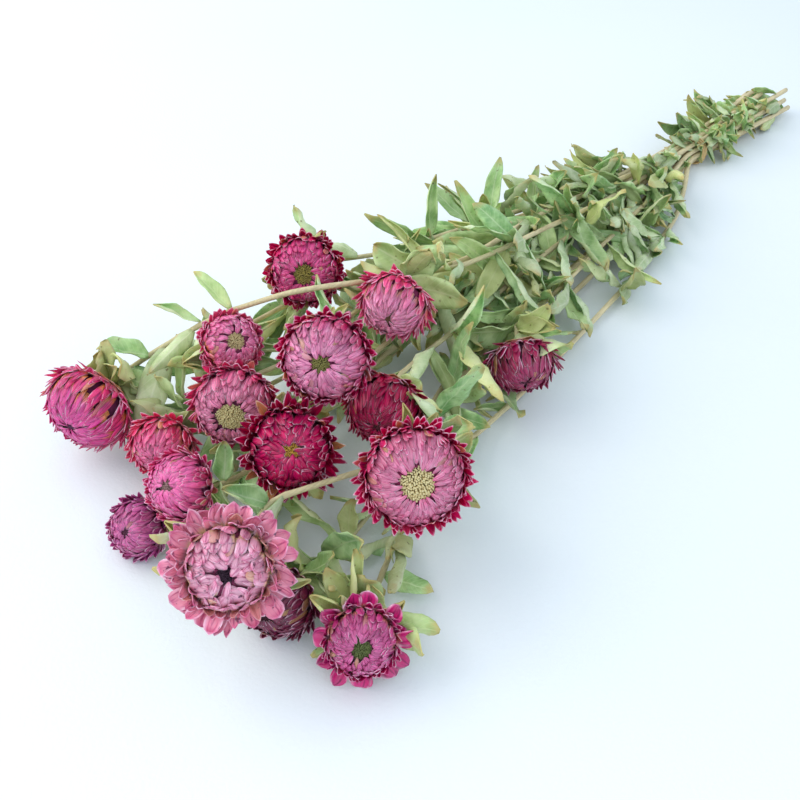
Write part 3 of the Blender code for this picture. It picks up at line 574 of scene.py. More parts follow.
def painted_gap_shade(name, bloom):
    """Painted shade seen through the gaps between the bracts: dull, dark and mottled."""
    material, tree, shader = start_material(name)
    place = add_node(tree, "ShaderNodeTexCoord")
    mottle = add_node(tree, "ShaderNodeTexNoise", {"Vector": place.outputs["Object"], "Scale": 500.0, "Detail": 2.0})
    # painted shade: the darkness of the gaps is put into the colour, a mottle from near-black wine to the head's line
    # colour
    tint = add_node(
        tree,
        "ShaderNodeMix",
        {0: mottle.outputs["Fac"], 6: linear("30101F"), 7: linear(bloom.line)},
        data_type="RGBA",
    )
    tree.links.new(tint.outputs[2], shader.inputs["Base Color"])
    shader.inputs["Roughness"].default_value = 0.9
    return material


def globe_point(bloom, polar, proud=0.0):
    """Point of the globe in the XZ plane at an angle from the axis in degrees, raised by proud mm."""
    angle = math.radians(polar)
    depth = CROWN_HEIGHT if polar < 90.0 else BELLY_DEPTH
    return Vector(
        ((bloom.radius + proud) * math.sin(angle), 0.0, (bloom.radius * depth + proud) * math.cos(angle))
    )


def add_core(paper, bloom):
    """A closed spun body just inside the bracts, with a dimple for the florets."""
    outline = [Vector((0.0, 0.0, -BELLY_DEPTH * bloom.radius))]
    outline += [globe_point(bloom, polar) * CORE_SHARE for polar in (150, 125, 105, 88, 70, 52, 36)]
    rim = globe_point(bloom, bloom.rim) * CORE_SHARE
    floor = rim.z - 0.26 * bloom.radius
    outline += [rim, Vector((0.75 * rim.x, 0.0, floor)), Vector((0.0, 0.0, floor))]
    verts = [paper.shape.verts.new(point) for point in outline]
    edges = [paper.shape.edges.new(pair) for pair in zip(verts, verts[1:])]
    bmesh.ops.spin(
        paper.shape,
        geom=verts + edges,
        cent=(0.0, 0.0, 0.0),
        axis=(0.0, 0.0, 1.0),
        angle=2.0 * math.pi,
        steps=CORE_SIDES,
        use_merge=True,
    )
    bmesh.ops.remove_doubles(paper.shape, verts=paper.shape.verts, dist=0.001)
    bmesh.ops.recalc_face_normals(paper.shape, faces=paper.shape.faces)
    for face in paper.shape.faces:
        face.material_index = 1


# %% [markdown]
# ## Bracts over the dome
#
# A dome bract runs along the globe from a root that is hidden by the bracts outside it to a free tip. It
# is narrow and arched across, so that dark pleats stand between neighbours. The bracts follow the spiral
# of a pine cone: each one is turned by the golden angle from the last and sits a little nearer to the
# hole, so that no two tips are in line. The innermost bend down into the hole, the outer ones lift.

# %% Dome bracts
GOLDEN_ANGLE = math.radians(137.508)
DOME_OUTER_TIP = 98.0
DOME_ARC = (54.0, 40.0)
ROOT_SUNK = -1.3
TIP_PROUD = 0.5
PLEAT = 0.38
COLLAR = (0.80, 0.87, 0.94, 1.0)
GRAIN_SIZE = 0.35


def bract_outline(v, blunt):
    """Half width of a bract along its length, as a share of the widest; blunt is 0 for a pointed tip."""
    swell = 0.72 + 0.28 * math.sin(0.5 * math.pi * min(v / 0.6, 1.0))
    if v < 0.6:
        return swell
    closing = min(1.0, (v - 0.6) / 0.4)
    return max(0.06, (1.0 - closing ** (1.4 + 2.0 * blunt)) ** (1.0 - 0.45 * blunt))


def spoke_turn(azimuth):
    return Matrix.Rotation(azimuth, 4, "Z")


def dome_bract(bloom, share, azimuth, dice):
    """Where the points of one dome bract go; share is 0 for the outermost and 1 for the innermost."""
    mouth = math.degrees(math.asin(bloom.hole * bloom.mouth))
    tip = mouth + (DOME_OUTER_TIP - mouth) * (1.0 - share) ** 0.8
    tip = max(4.0, tip + dice.uniform(-3.0, 3.0) * (1.0 + bloom.disorder))
    arc = (DOME_ARC[0] + (DOME_ARC[1] - DOME_ARC[0]) * share) * dice.uniform(0.85, 1.1)
    width = bloom.bract_width * (1.28 - 0.52 * share) * dice.uniform(0.8, 1.15)
    flare = (0.5 + 1.1 * bloom.flare * (1.0 - share) ** 0.8) * dice.uniform(0.2, 1.0 + bloom.disorder)
    roll_in = 0.15 * bloom.radius * max(0.0, share - 0.75) / 0.25
    twist = math.radians(26.0 * bloom.disorder * dice.uniform(-1.0, 1.0))
    sway = 1.6 * bloom.disorder * dice.uniform(-1.0, 1.0)
    crease = PLEAT * dice.uniform(0.6, 1.2)
    blunt = bloom.blunt
    seed = Vector((dice.uniform(0, 90), dice.uniform(0, 90), 0.0))
    turn = spoke_turn(azimuth)

    def place(u, v):
        t = 1.0 - (1.0 - v) ** 1.7
        polar = tip + arc * (1.0 - t)
        proud = ROOT_SUNK + (TIP_PROUD - ROOT_SUNK) * t + flare * t ** 4 - roll_in * t ** 5
        point = globe_point(bloom, polar, proud)
        angle = math.radians(polar)
        outwards = Vector((math.sin(angle), 0.0, math.cos(angle)))
        half = 0.5 * width * bract_outline(t, blunt)
        sideways = Vector((0.0, math.cos(twist * t), 0.0)) + outwards * math.sin(twist * t)
        point += sideways * half * u - outwards * crease * half * u * u
        point.y += sway * t * t
        point += outwards * noise.noise(point * GRAIN_SIZE + seed) * 0.4
        return turn @ point

    return place


def add_dome(paper, bloom, dice):
    for number in range(bloom.bracts):
        share = number / (bloom.bracts - 1)
        azimuth = number * GOLDEN_ANGLE + dice.uniform(-0.12, 0.12) * (1.0 + bloom.disorder)
        blade = dome_bract(bloom, share, azimuth, dice)
        wither = dice.uniform(0.25, 0.6) if dice.random() < 0.06 else 0.0
        lay_blade(paper, 4, 6, blade, dice.random(), inward=share, wither=wither)
    collar = round(2.0 * math.pi * bloom.hole * bloom.radius / (0.42 * bloom.bract_width))
    for share in COLLAR:
        for number in range(collar):
            azimuth = 2.0 * math.pi * (number + share * 10.0 + dice.uniform(-0.3, 0.3)) / collar
            lay_blade(paper, 4, 6, dome_bract(bloom, share, azimuth, dice), dice.random(), inward=share)
    return bloom.bracts + collar * len(COLLAR)


# %% [markdown]
# ## Outer bracts and the belly
#
# Open heads also have one or two layers of wide outer bracts that stand out like the petals of a daisy.
# They leave the globe at its widest place and lean away from the axis by the angles of the solid's thick
# petals, so the outline stays the same. Each is cupped, folded, twisted and bent by a chance of its own,
# which keeps them from looking cut from card. Behind them straw-coloured scales cover the belly.

# %% Outer bracts
BELT_RADIUS = 0.86
BELT_DEPTH = 0.24
RAY_ROWS = 8


def ray_outline(v, blunt):
    """Half width of an outer bract along its length: narrow claw, broad blade, rounded or pointed tip."""
    swell = 0.42 + 0.58 * math.sin(0.5 * math.pi * min(v / 0.58, 1.0))
    if v < 0.58:
        return swell
    closing = min(1.0, (v - 0.58) / 0.42)
    return max(0.06, (1.0 - closing ** (1.5 + 1.4 * blunt)) ** (1.0 - 0.4 * blunt))


def outer_bract(bloom, azimuth, layer, dice):
    """Where the points of one outer bract go."""
    lean_root, lean_tip = (lean - 14.0 * layer for lean in bloom.lean)
    lean_root += dice.uniform(-9.0, 7.0)
    lean_tip += dice.uniform(-34.0, 18.0) * (0.5 + 0.6 * bloom.disorder)
    mean = math.radians(0.5 * (lean_root + lean_tip))
    reach = 0.5 * bloom.width - BELT_RADIUS * bloom.radius
    length = min(reach / max(math.sin(mean), 0.5), 1.2 * reach) * dice.uniform(0.70, 1.04)
    width = bloom.ray_width * dice.uniform(0.65, 1.1)
    cup = dice.uniform(-0.1, 0.9)
    fold = dice.uniform(0.0, 0.5)
    twist = math.radians(dice.uniform(-40.0, 40.0) * (0.5 + 0.6 * bloom.disorder))
    sway = dice.uniform(-0.2, 0.2) * length
    blunt = bloom.blunt * dice.uniform(0.6, 1.3)
    seed = Vector((dice.uniform(0, 90), dice.uniform(0, 90), 0.0))
    turn = spoke_turn(azimuth)
    spine = [Vector((BELT_RADIUS * bloom.radius, 0.0, (0.12 * layer - BELT_DEPTH) * bloom.radius))]
    for row in range(RAY_ROWS):
        lean = math.radians(lean_root + (lean_tip - lean_root) * (row + 0.5) / RAY_ROWS)
        spine.append(spine[-1] + Vector((math.sin(lean), 0.0, math.cos(lean))) * length / RAY_ROWS)

    def place(u, v):
        row = round(v * RAY_ROWS)
        lean = math.radians(lean_root + (lean_tip - lean_root) * v)
        inner_side = Vector((-math.cos(lean), 0.0, math.sin(lean)))
        half = 0.5 * width * ray_outline(v, blunt)
        angle = twist * v
        sideways = Vector((0.0, math.cos(angle), 0.0)) + inner_side * math.sin(angle)
        point = spine[row] + sideways * half * u + inner_side * half * (cup * u * u + fold * abs(u))
        point.y += sway * v * v
        point += inner_side * noise.noise(point * 0.28 + seed) * 1.1 * v
        return turn @ point

    return place


def belly_scale(bloom, polar, azimuth, dice):
    """Where the points of one straw-coloured scale behind the head go."""
    width = 0.30 * bloom.radius * dice.uniform(0.9, 1.2)
    lift = dice.uniform(0.1, 0.9)
    turn = spoke_turn(azimuth)

    def place(u, v):
        point = globe_point(bloom, polar + 34.0 * (1.0 - v), -0.9 + 0.7 * v + lift * v ** 3)
        half = width * bract_outline(v, 0.6)
        point.y += half * u
        return turn @ (point - Vector((0.35, 0.0, 0.0)) * half * u * u)

    return place


def add_skirt(paper, bloom, dice):
    """Outer bracts where the head has them, then the belly's scales."""
    count = 0
    for layer in range(bloom.rays):
        for number in range(bloom.petals):
            azimuth = 2.0 * math.pi * (number + 0.25 + 0.5 * layer + dice.uniform(-0.22, 0.22)) / bloom.petals
            blade = outer_bract(bloom, azimuth, layer, dice)
            lay_blade(paper, 4, RAY_ROWS, blade, dice.random(), inward=0.05)
            count += 1
    for polar, around, wither in ((104.0, 18, 0.25), (122.0, 14, 0.6), (140.0, 9, 0.85)):
        for number in range(around):
            azimuth = 2.0 * math.pi * (number + dice.uniform(-0.2, 0.2)) / around
            blade = belly_scale(bloom, polar, azimuth, dice)
            lay_blade(paper, 2, 4, blade, dice.random(), inward=0.0, wither=wither)
            count += 1
    return count


# %% Blooms
BRACT_WALL = 0.28

for name, bloom in BLOOMS.items():
    dice = random.Random("bracts " + name)
    paper = start_paper()
    add_core(paper, bloom)
    total = add_dome(paper, bloom, dice) + add_skirt(paper, bloom, dice)
    bmesh.ops.transform(paper.shape, matrix=bloom.place, verts=paper.shape.verts)
    finish_piece(
        "bracts_" + name,
        paper.shape,
        [bract_materials[name], painted_gap_shade("painted_gap_shade_" + name, bloom)],
        "bloom_" + name,
        wall=BRACT_WALL,
    )
    print("bloom", name, "has", total, "bracts")

# %% [markdown]
# ## Florets
#
# The real flowers of the plant are the tiny tubes in the hole. They are set in the spiral that sunflowers
# also use: each one a golden angle on from the last. A floret is a cone of four sides, one of Blender's
# own shapes, a few faces only, because it is repeated hundreds of times.


# %% Florets
def dried_florets(name, bloom):
    """Dull, dusty tubes that are lighter at their mouths."""
    material, tree, shader = start_material(name)
    height = add_node(tree, "ShaderNodeAttribute", attribute_name="height")
    place = add_node(tree, "ShaderNodeTexCoord")
    dust = add_node(
        tree, "ShaderNodeTexNoise", {"Vector": place.outputs["Object"], "Scale": 900.0, "Detail": 2.0}
    )
    mixed = add_node(tree, "ShaderNodeMath", {0: height.outputs["Fac"], 1: dust.outputs["Fac"]}, operation="MULTIPLY")
    tint = add_node(
        tree,
        "ShaderNodeMix",
        {0: mixed.outputs[0], 6: linear(bloom.heart), 7: linear(bloom.heart_tip)},
        data_type="RGBA",
    )
    tree.links.new(tint.outputs[2], shader.inputs["Base Color"])
    shader.inputs["Roughness"].default_value = 0.85
    return material


FLORETS = 190

for name, bloom in BLOOMS.items():
    dice = random.Random("florets " + name)
    shape = bmesh.new()
    height_layer = shape.verts.layers.float.new("height")
    hole = bloom.hole * bloom.radius
    rim_height = globe_point(bloom, bloom.rim).z
    base = rim_height - 0.34 * bloom.radius
    size = 1.25 * hole / math.sqrt(FLORETS)
    for number in range(FLORETS):
        reach = 0.82 * hole * math.sqrt((number + 0.5) / FLORETS)
        azimuth = number * GOLDEN_ANGLE
        tall = bloom.radius * (0.28 - 0.08 * (reach / hole) ** 2) * dice.uniform(0.93, 1.05)
        tilt = Matrix.Rotation(dice.uniform(-0.2, 0.2), 4, "X") @ Matrix.Rotation(0.35 * reach / hole, 4, "Y")
        spot = spoke_turn(azimuth) @ Matrix.Translation((reach, 0.0, base + 0.5 * tall)) @ tilt
        cone = bmesh.ops.create_cone(
            shape, cap_ends=True, segments=4, radius1=0.5 * size, radius2=0.7 * size, depth=tall, matrix=spot
        )
        for vert in cone["verts"]:
            vert[height_layer] = 1.5 if vert.co.z > base + 0.5 * tall else 0.5
    bmesh.ops.transform(shape, matrix=bloom.place, verts=shape.verts)
    finish_piece(
        "florets_" + name,
        shape,
        [dried_florets("dried_florets_" + name, bloom)],
        "disc_" + name,
    )
print("florets in each head:", FLORETS)

# %% [markdown]
# ## Reading the bones of the leafy stems
#
# The leaves aren't placed again: their bones are read back from the solids, so that every fine leaf lies
# where the coarse one is. In a stem's solid each blade ends in a point with exactly four edges. Walking
# down from it gives sets of four corners, the last set being the root on the stalk. In a set, the two
# corners furthest apart are the blade's edges, and the other two tell which side is up.

# %% Bones


@dataclass
class Leaf:
    """One leaf: a bow from root to tip, half its width, and the direction that its upper side faces."""

    root: Vector
    control: Vector
    tip: Vector
    half: float
    faces: list
    calyx: bool

    def middle(self, t):
        return (1 - t) ** 2 * self.root + 2 * t * (1 - t) * self.control + t * t * self.tip

    def heading(self, t):
        return ((1 - t) * (self.control - self.root) + t * (self.tip - self.control)).normalized()

    def face(self, t):
        first, last = self.faces[0], self.faces[-1]
        face = first.lerp(last, min(max((t - 0.2) / 0.6, 0.0), 1.0))
        heading = self.heading(t)
        return (face - heading * face.dot(heading)).normalized()

    @property
    def length(self):
        return (self.control - self.root).length * 0.5 + (self.tip - self.control).length * 0.5


def section_of(corners):
    """Middle, half of the vector from edge to edge, and upward direction of a blade's four corners."""
    points = [vert.co for vert in corners]
    pairs = [(a, b) for a in range(4) for b in range(a + 1, 4)]
    left, right = max(pairs, key=lambda pair: (points[pair[0]] - points[pair[1]]).length)
    low, high = (points[i] for i in range(4) if i not in (left, right))
    middle = 0.5 * (low + high)
    face = (high - low).normalized()
    if face.dot(0.5 * (points[left] + points[right]) - middle) < 0.0:
        face = -face
    return middle, 0.5 * (points[right] - points[left]), face


def walk_blade(tip):
    """Corner sets of one blade, from the first behind its tip to the root on the stalk."""
    seen = {tip}
    corners = {edge.other_vert(tip) for edge in tip.link_edges}
    rows = []
    while len(corners) == 4:
        rows.append(list(corners))
        seen |= corners
        corners = {edge.other_vert(vert) for vert in corners for edge in vert.link_edges} - seen
    return rows


def read_stem(name):
    """The leaves of one stem, and the middle points of its stalk from the head to the cut end."""
    shape = bmesh.new()
    shape.from_mesh(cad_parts["stem_" + name].data)
    bmesh.ops.scale(shape, vec=(1.0 / MM, 1.0 / MM, 1.0 / MM), verts=shape.verts)
    bmesh.ops.remove_doubles(shape, verts=shape.verts, dist=0.01)
    leaves = []
    blade_verts = set()
    for tip in [vert for vert in shape.verts if len(vert.link_edges) == 4]:
        rows = walk_blade(tip)
        if len(rows) < 3:
            continue
        root = sum((vert.co for vert in rows[-1]), Vector()) / 4.0
        sections = [section_of(row) for row in reversed(rows[:-1])]
        calyx = len(sections) == 2
        t = 0.72 if calyx else 0.5
        middle, side, _ = sections[1]
        control = (middle - (1 - t) ** 2 * root - t * t * tip.co) / (2 * t * (1 - t))
        faces = [section[2] for section in sections]
        faces = [face if face.dot(faces[0]) > 0.0 else -face for face in faces]
        leaves.append(Leaf(root, control, tip.co.copy(), side.length, faces, calyx))
        blade_verts |= {tip, *(vert for row in rows[:-1] for vert in row)}
    tube = set(shape.verts) - blade_verts
    seat = Vector(BLOOMS[name].at) - ORIGIN - BLOOMS[name].axis * BELLY_DEPTH * BLOOMS[name].radius
    layer = set(sorted(tube, key=lambda vert: (vert.co - seat).length)[:5])
    seen = set()
    centres = []
    while layer:
        centres.append(sum((vert.co for vert in layer), Vector()) / len(layer))
        seen |= layer
        layer = {edge.other_vert(vert) for vert in layer for edge in vert.link_edges} & tube - seen
    shape.free()
    return leaves, centres


stems = {name: read_stem(name) for name in BLOOMS}
for name, (leaves, centres) in stems.items():
    print("stem", name, "has", len(leaves), "leaves and", len(centres), "rings")

# %% [markdown]
# ## Stalks
#
# The solid's stalk is a chain of straight rods. A smooth line through its middle points turns it into one
# bow, and a ribbed ring is extruded along that line. Each new ring is carried from the last one's frame to
# the next one's, so the ribs run along the stalk without twisting. It swells a little at each leaf, as at
# the nodes of the real one.


# %% Smooth line
class Line:
    """A smooth line through given points, read by distance from its start."""

    def __init__(self, points, step=1.5):
        padded = [2.0 * points[0] - points[1], *points, 2.0 * points[-1] - points[-2]]
        self.points = []
        for a, b, c, d in zip(padded, padded[1:], padded[2:], padded[3:]):
            pull = 0.5 * (c - b).length
            leave = (c - a).normalized() * pull
            arrive = (d - b).normalized() * pull
            pieces = max(1, round((c - b).length / step))
            for index in range(pieces):
                t = index / pieces
                ease = t * t * (3.0 - 2.0 * t)
                bend = leave * (t * (1 - t) ** 2) - arrive * (t * t * (1 - t))
                self.points.append(b.lerp(c, ease) + bend * 1.6)
        self.points.append(points[-1])
        self.lengths = [0.0]
        for start, end in zip(self.points, self.points[1:]):
            self.lengths.append(self.lengths[-1] + (end - start).length)
        self.total = self.lengths[-1]

    def at(self, distance):
        distance = min(max(distance, 0.0), self.total)
        index = 0
        while index < len(self.lengths) - 2 and self.lengths[index + 1] < distance:
            index += 1
        share = (distance - self.lengths[index]) / (self.lengths[index + 1] - self.lengths[index])
        return self.points[index].lerp(self.points[index + 1], share)

    def heading(self, distance):
        return (self.at(distance + 1.5) - self.at(distance - 1.5)).normalized()

    def nearest(self, point):
        index = min(range(len(self.points)), key=lambda i: (self.points[i] - point).length)
        return self.lengths[index]


lines = {name: Line(centres) for name, (_, centres) in stems.items()}
print("longest stalk:", round(max(line.total for line in lines.values())), "mm")

# %% Dried stalk
TIE_MIDDLE = Vector((178.0, -15.0, 8.4)) - ORIGIN
TIE_HEADING = Vector((-0.985, 0.172, 0.0)).normalized()
STALK_SIDES = 10
STALK_STEP = 5.0
STALK_RADII = (1.1, 1.65)
RIB = 0.88


def dried_stalk():
    """Straw: dull, fibrous, greener towards the head, with darker scars."""
    material, tree, shader = start_material("dried_stalk")
    place = add_node(tree, "ShaderNodeTexCoord")
    along = add_node(tree, "ShaderNodeAttribute", attribute_name="along")
    drawn_out = add_node(
        tree, "ShaderNodeMapping", {"Vector": place.outputs["Object"], "Scale": (0.10, 1.0, 1.0)}
    )
    fibre = add_node(
        tree, "ShaderNodeTexNoise", {"Vector": drawn_out.outputs["Vector"], "Scale": 1100.0, "Detail": 3.0}
    )
    patch = add_node(tree, "ShaderNodeTexNoise", {"Vector": place.outputs["Object"], "Scale": 45.0, "Detail": 2.0})
    age = add_node(
        tree,
        "ShaderNodeMapRange",
        {"Value": along.outputs["Fac"], "From Min": 0.02, "From Max": 0.34, "To Min": 0.25, "To Max": 0.9},
    )
    base = add_node(
        tree,
        "ShaderNodeMix",
        {0: age.outputs["Result"], 6: linear("B8B284"), 7: linear("DCCBA2")},
        data_type="RGBA",
    )
    scar = add_node(
        tree, "ShaderNodeMapRange", {"Value": patch.outputs["Fac"], "From Min": 0.55, "From Max": 0.7, "To Max": 0.5}
    )
    aged = add_node(
        tree,
        "ShaderNodeMix",
        {0: scar.outputs["Result"], 6: base.outputs[2], 7: linear("9A8558")},
        data_type="RGBA",
    )
    grain = add_node(
        tree, "ShaderNodeMapRange", {"Value": fibre.outputs["Fac"], "From Min": 0.3, "From Max": 0.7, "To Min": 0.82, "To Max": 1.15}
    )
    toned = add_node(tree, "ShaderNodeHueSaturation", {"Color": aged.outputs[2], "Value": grain.outputs["Result"]})
    bump = add_node(tree, "ShaderNodeBump", {"Height": fibre.outputs["Fac"], "Strength": 0.4, "Distance": 0.0002})
    tree.links.new(toned.outputs["Color"], shader.inputs["Base Color"])
    tree.links.new(bump.outputs["Normal"], shader.inputs["Normal"])
    shader.inputs["Roughness"].default_value = 0.7
    return material


def ring_frames(line, radius_at, step):
    """A frame for each ring along a line: its Z runs along the line and its scale is the radius."""
    count = max(2, round(line.total / step))
    upward = UP
    frames = []
    for index in range(count + 1):
        distance = line.total * index / count
        heading = line.heading(distance)
        upward = (upward - heading * upward.dot(heading)).normalized()
        radius = radius_at(distance)
        columns = (upward.cross(heading).normalized() * radius, upward * radius, heading * radius)
        turn = Matrix(columns).transposed().to_4x4()
        frames.append(Matrix.Translation(line.at(distance)) @ turn)
    return frames


def extrude_along(shape, frames, sides, rib=1.0, tag=None):
    """Extrude one ribbed ring through every frame, and close both ends."""
    ring = bmesh.ops.create_circle(shape, cap_ends=True, segments=sides, radius=1.0)["verts"]
    for number, vert in enumerate(ring):
        if number % 2:
            vert.co *= rib
    bmesh.ops.transform(shape, matrix=frames[0], verts=ring)
    edges = list({edge for vert in ring for edge in vert.link_edges})
    for index, (before, after) in enumerate(zip(frames, frames[1:])):
        made = bmesh.ops.extrude_edge_only(shape, edges=edges)["geom"]
        verts = {item for item in made if isinstance(item, bmesh.types.BMVert)}
        edges = [item for item in made if isinstance(item, bmesh.types.BMEdge) and verts.issuperset(item.verts)]
        bmesh.ops.transform(shape, matrix=after @ before.inverted(), verts=list(verts))
        if tag is not None:
            for vert in verts:
                vert[tag] = (index + 1) / (len(frames) - 1)
    bmesh.ops.edgeloop_fill(shape, edges=edges)
    bmesh.ops.recalc_face_normals(shape, faces=shape.faces)


stalk_material = dried_stalk()
for name, line in lines.items():
    joints = [line.nearest(leaf.root) for leaf in stems[name][0]]

    def stalk_radius(distance):
        base = STALK_RADII[0] + (STALK_RADII[1] - STALK_RADII[0]) * min(1.0, distance / (0.75 * line.total))
        return base * (1.0 + 0.22 * max((math.exp(-(((distance - joint) / 2.2) ** 2)) for joint in joints), default=0.0))

    shape = bmesh.new()
    along = shape.verts.layers.float.new("along")
    extrude_along(shape, ring_frames(line, stalk_radius, STALK_STEP), STALK_SIDES, RIB, along)
    finish_piece("stalk_" + name, shape, [stalk_material], "stem_" + name)
print("stalks:", len(lines))

# %% [markdown]
# ## Dried leaf
#
# The leaves dried slowly in the dark, so they kept a grey sage green. Seen close, the colour is blotched,
# the midrib is a pale line with faint side veins, and the tips turn yellow and brown. The underside is
# paler and duller than the upper side, so it is a material of its own. The Solidify modifier gives it to
# the back of each blade.


# %% Dried leaf
def dried_leaf(name, light, deep, rib, gloss):
    """Matte leathery leaf with a pale midrib, side veins, blotches and withered tips."""
    material, tree, shader = start_material(name)
    uv = add_node(tree, "ShaderNodeUVMap", uv_map="UVMap")
    split = add_node(tree, "ShaderNodeSeparateXYZ", {"Vector": uv.outputs["UV"]})
    dice = add_node(tree, "ShaderNodeAttribute", attribute_name="dice")
    wither = add_node(tree, "ShaderNodeAttribute", attribute_name="wither")
    place = add_node(tree, "ShaderNodeTexCoord")

    blotch = add_node(tree, "ShaderNodeTexNoise", {"Vector": place.outputs["Object"], "Scale": 130.0, "Detail": 4.0})
    blotched = add_node(
        tree, "ShaderNodeMapRange", {"Value": blotch.outputs["Fac"], "From Min": 0.36, "From Max": 0.64}
    )
    green = add_node(
        tree,
        "ShaderNodeMix",
        {0: blotched.outputs["Result"], 6: linear(light), 7: linear(deep)},
        data_type="RGBA",
    )

    centred = add_node(tree, "ShaderNodeMath", {0: split.outputs["X"], 1: 0.5}, operation="SUBTRACT")
    aside = add_node(tree, "ShaderNodeMath", {0: centred.outputs[0]}, operation="ABSOLUTE")
    midrib = add_node(
        tree,
        "ShaderNodeMapRange",
        {"Value": aside.outputs[0], "From Min": 0.050, "From Max": 0.012, "To Max": 0.55},
    )
    forward = add_node(tree, "ShaderNodeMath", {0: aside.outputs[0], 1: -26.0}, operation="MULTIPLY")
    slant = add_node(
        tree,
        "ShaderNodeMath",
        {0: split.outputs["Y"], 1: 62.0, 2: forward.outputs[0]},
        operation="MULTIPLY_ADD",
    )
    beat = add_node(tree, "ShaderNodeMath", {0: slant.outputs[0]}, operation="SINE")
    side_vein = add_node(
        tree, "ShaderNodeMapRange", {"Value": beat.outputs[0], "From Min": 0.80, "From Max": 1.0, "To Max": 0.24}
    )
    veins = add_node(
        tree, "ShaderNodeMath", {0: midrib.outputs["Result"], 1: side_vein.outputs["Result"]}, operation="MAXIMUM"
    )
    veined = add_node(
        tree,
        "ShaderNodeMix",
        {0: veins.outputs[0], 6: green.outputs[2], 7: linear(rib)},
        data_type="RGBA",
    )

    yellow = add_node(
        tree,
        "ShaderNodeMix",
        {0: wither.outputs["Fac"], 6: veined.outputs[2], 7: linear("D0CC84")},
        data_type="RGBA",
    )
    rough_edge = add_node(tree, "ShaderNodeTexNoise", {"Vector": place.outputs["Object"], "Scale": 260.0, "Detail": 3.0})
    tip_start = add_node(
        tree, "ShaderNodeMath", {0: rough_edge.outputs["Fac"], 1: 0.35, 2: 0.66}, operation="MULTIPLY_ADD"
    )
    tip_end = add_node(tree, "ShaderNodeMath", {0: tip_start.outputs[0], 1: 0.12}, operation="ADD")
    tipped = add_node(
        tree,
        "ShaderNodeMapRange",
        {
            "Value": split.outputs["Y"],
            "From Min": tip_start.outputs[0],
            "From Max": tip_end.outputs[0],
            "To Max": 0.7,
        },
    )
    browned = add_node(
        tree,
        "ShaderNodeMix",
        {0: tipped.outputs["Result"], 6: yellow.outputs[2], 7: linear("B59B58")},
        data_type="RGBA",
    )
    spots = add_node(tree, "ShaderNodeTexNoise", {"Vector": place.outputs["Object"], "Scale": 520.0, "Detail": 1.0})
    spotted = add_node(
        tree, "ShaderNodeMapRange", {"Value": spots.outputs["Fac"], "From Min": 0.70, "From Max": 0.76, "To Max": 0.7}
    )
    stained = add_node(
        tree,
        "ShaderNodeMix",
        {0: spotted.outputs["Result"], 6: browned.outputs[2], 7: linear("6E5A34")},
        data_type="RGBA",
    )
    shade = add_node(tree, "ShaderNodeMapRange", {"Value": dice.outputs["Fac"], "To Min": 0.74, "To Max": 1.24})
    toned = add_node(
        tree, "ShaderNodeHueSaturation", {"Color": stained.outputs[2], "Value": shade.outputs["Result"]}
    )
    relief = add_node(
        tree, "ShaderNodeMath", {0: veins.outputs[0], 1: 0.6, 2: rough_edge.outputs["Fac"]}, operation="MULTIPLY_ADD"
    )
    bump = add_node(tree, "ShaderNodeBump", {"Height": relief.outputs[0], "Strength": 0.45, "Distance": 0.0004})
    tree.links.new(toned.outputs["Color"], shader.inputs["Base Color"])
    tree.links.new(bump.outputs["Normal"], shader.inputs["Normal"])
    shader.inputs["Roughness"].default_value = gloss
    shader.inputs["Subsurface Weight"].default_value = 0.10
    shader.inputs["Subsurface Radius"].default_value = (0.6, 1.0, 0.3)
    shader.inputs["Subsurface Scale"].default_value = 0.0012
    return material


leaf_materials = [
    dried_leaf("dried_leaf_upper", "BEDAA0", "7CAA6A", "D2E2B6", 0.50),
    dried_leaf("dried_leaf_under", "D2DEB6", "A8BE8A", "E0E6C6", 0.64),
]
print("leaf materials:", [material.name for material in leaf_materials])

# %% [markdown]
# ## Leaf blades
#
# A drying leaf shrinks more on one side than on the other. It rolls across its width, folds along the
# midrib, ripples at the margin and hooks at the tip. Those four motions are added to the grid one by one,
# each with its own random strength. The roll bends each cross section into an arc of the same length, so
# a rolled leaf really gets narrower.


# %% Leaf blades
LEAF_WALL = 0.35
LEAF_ACROSS = 6
LEAF_ALONG = 12


def leaf_outline(t):
    """Half width along a leaf: a short stalk, a long blade and a blunt tip."""
    return max(0.10 if t > 0.5 else 0.22, math.sin(math.pi * t ** 0.95) ** 0.60)


def calyx_outline(t):
    """The same for the broad leaves behind a head."""
    return max(0.12 if t > 0.5 else 0.30, math.sin(math.pi * t ** 1.05) ** 0.48)


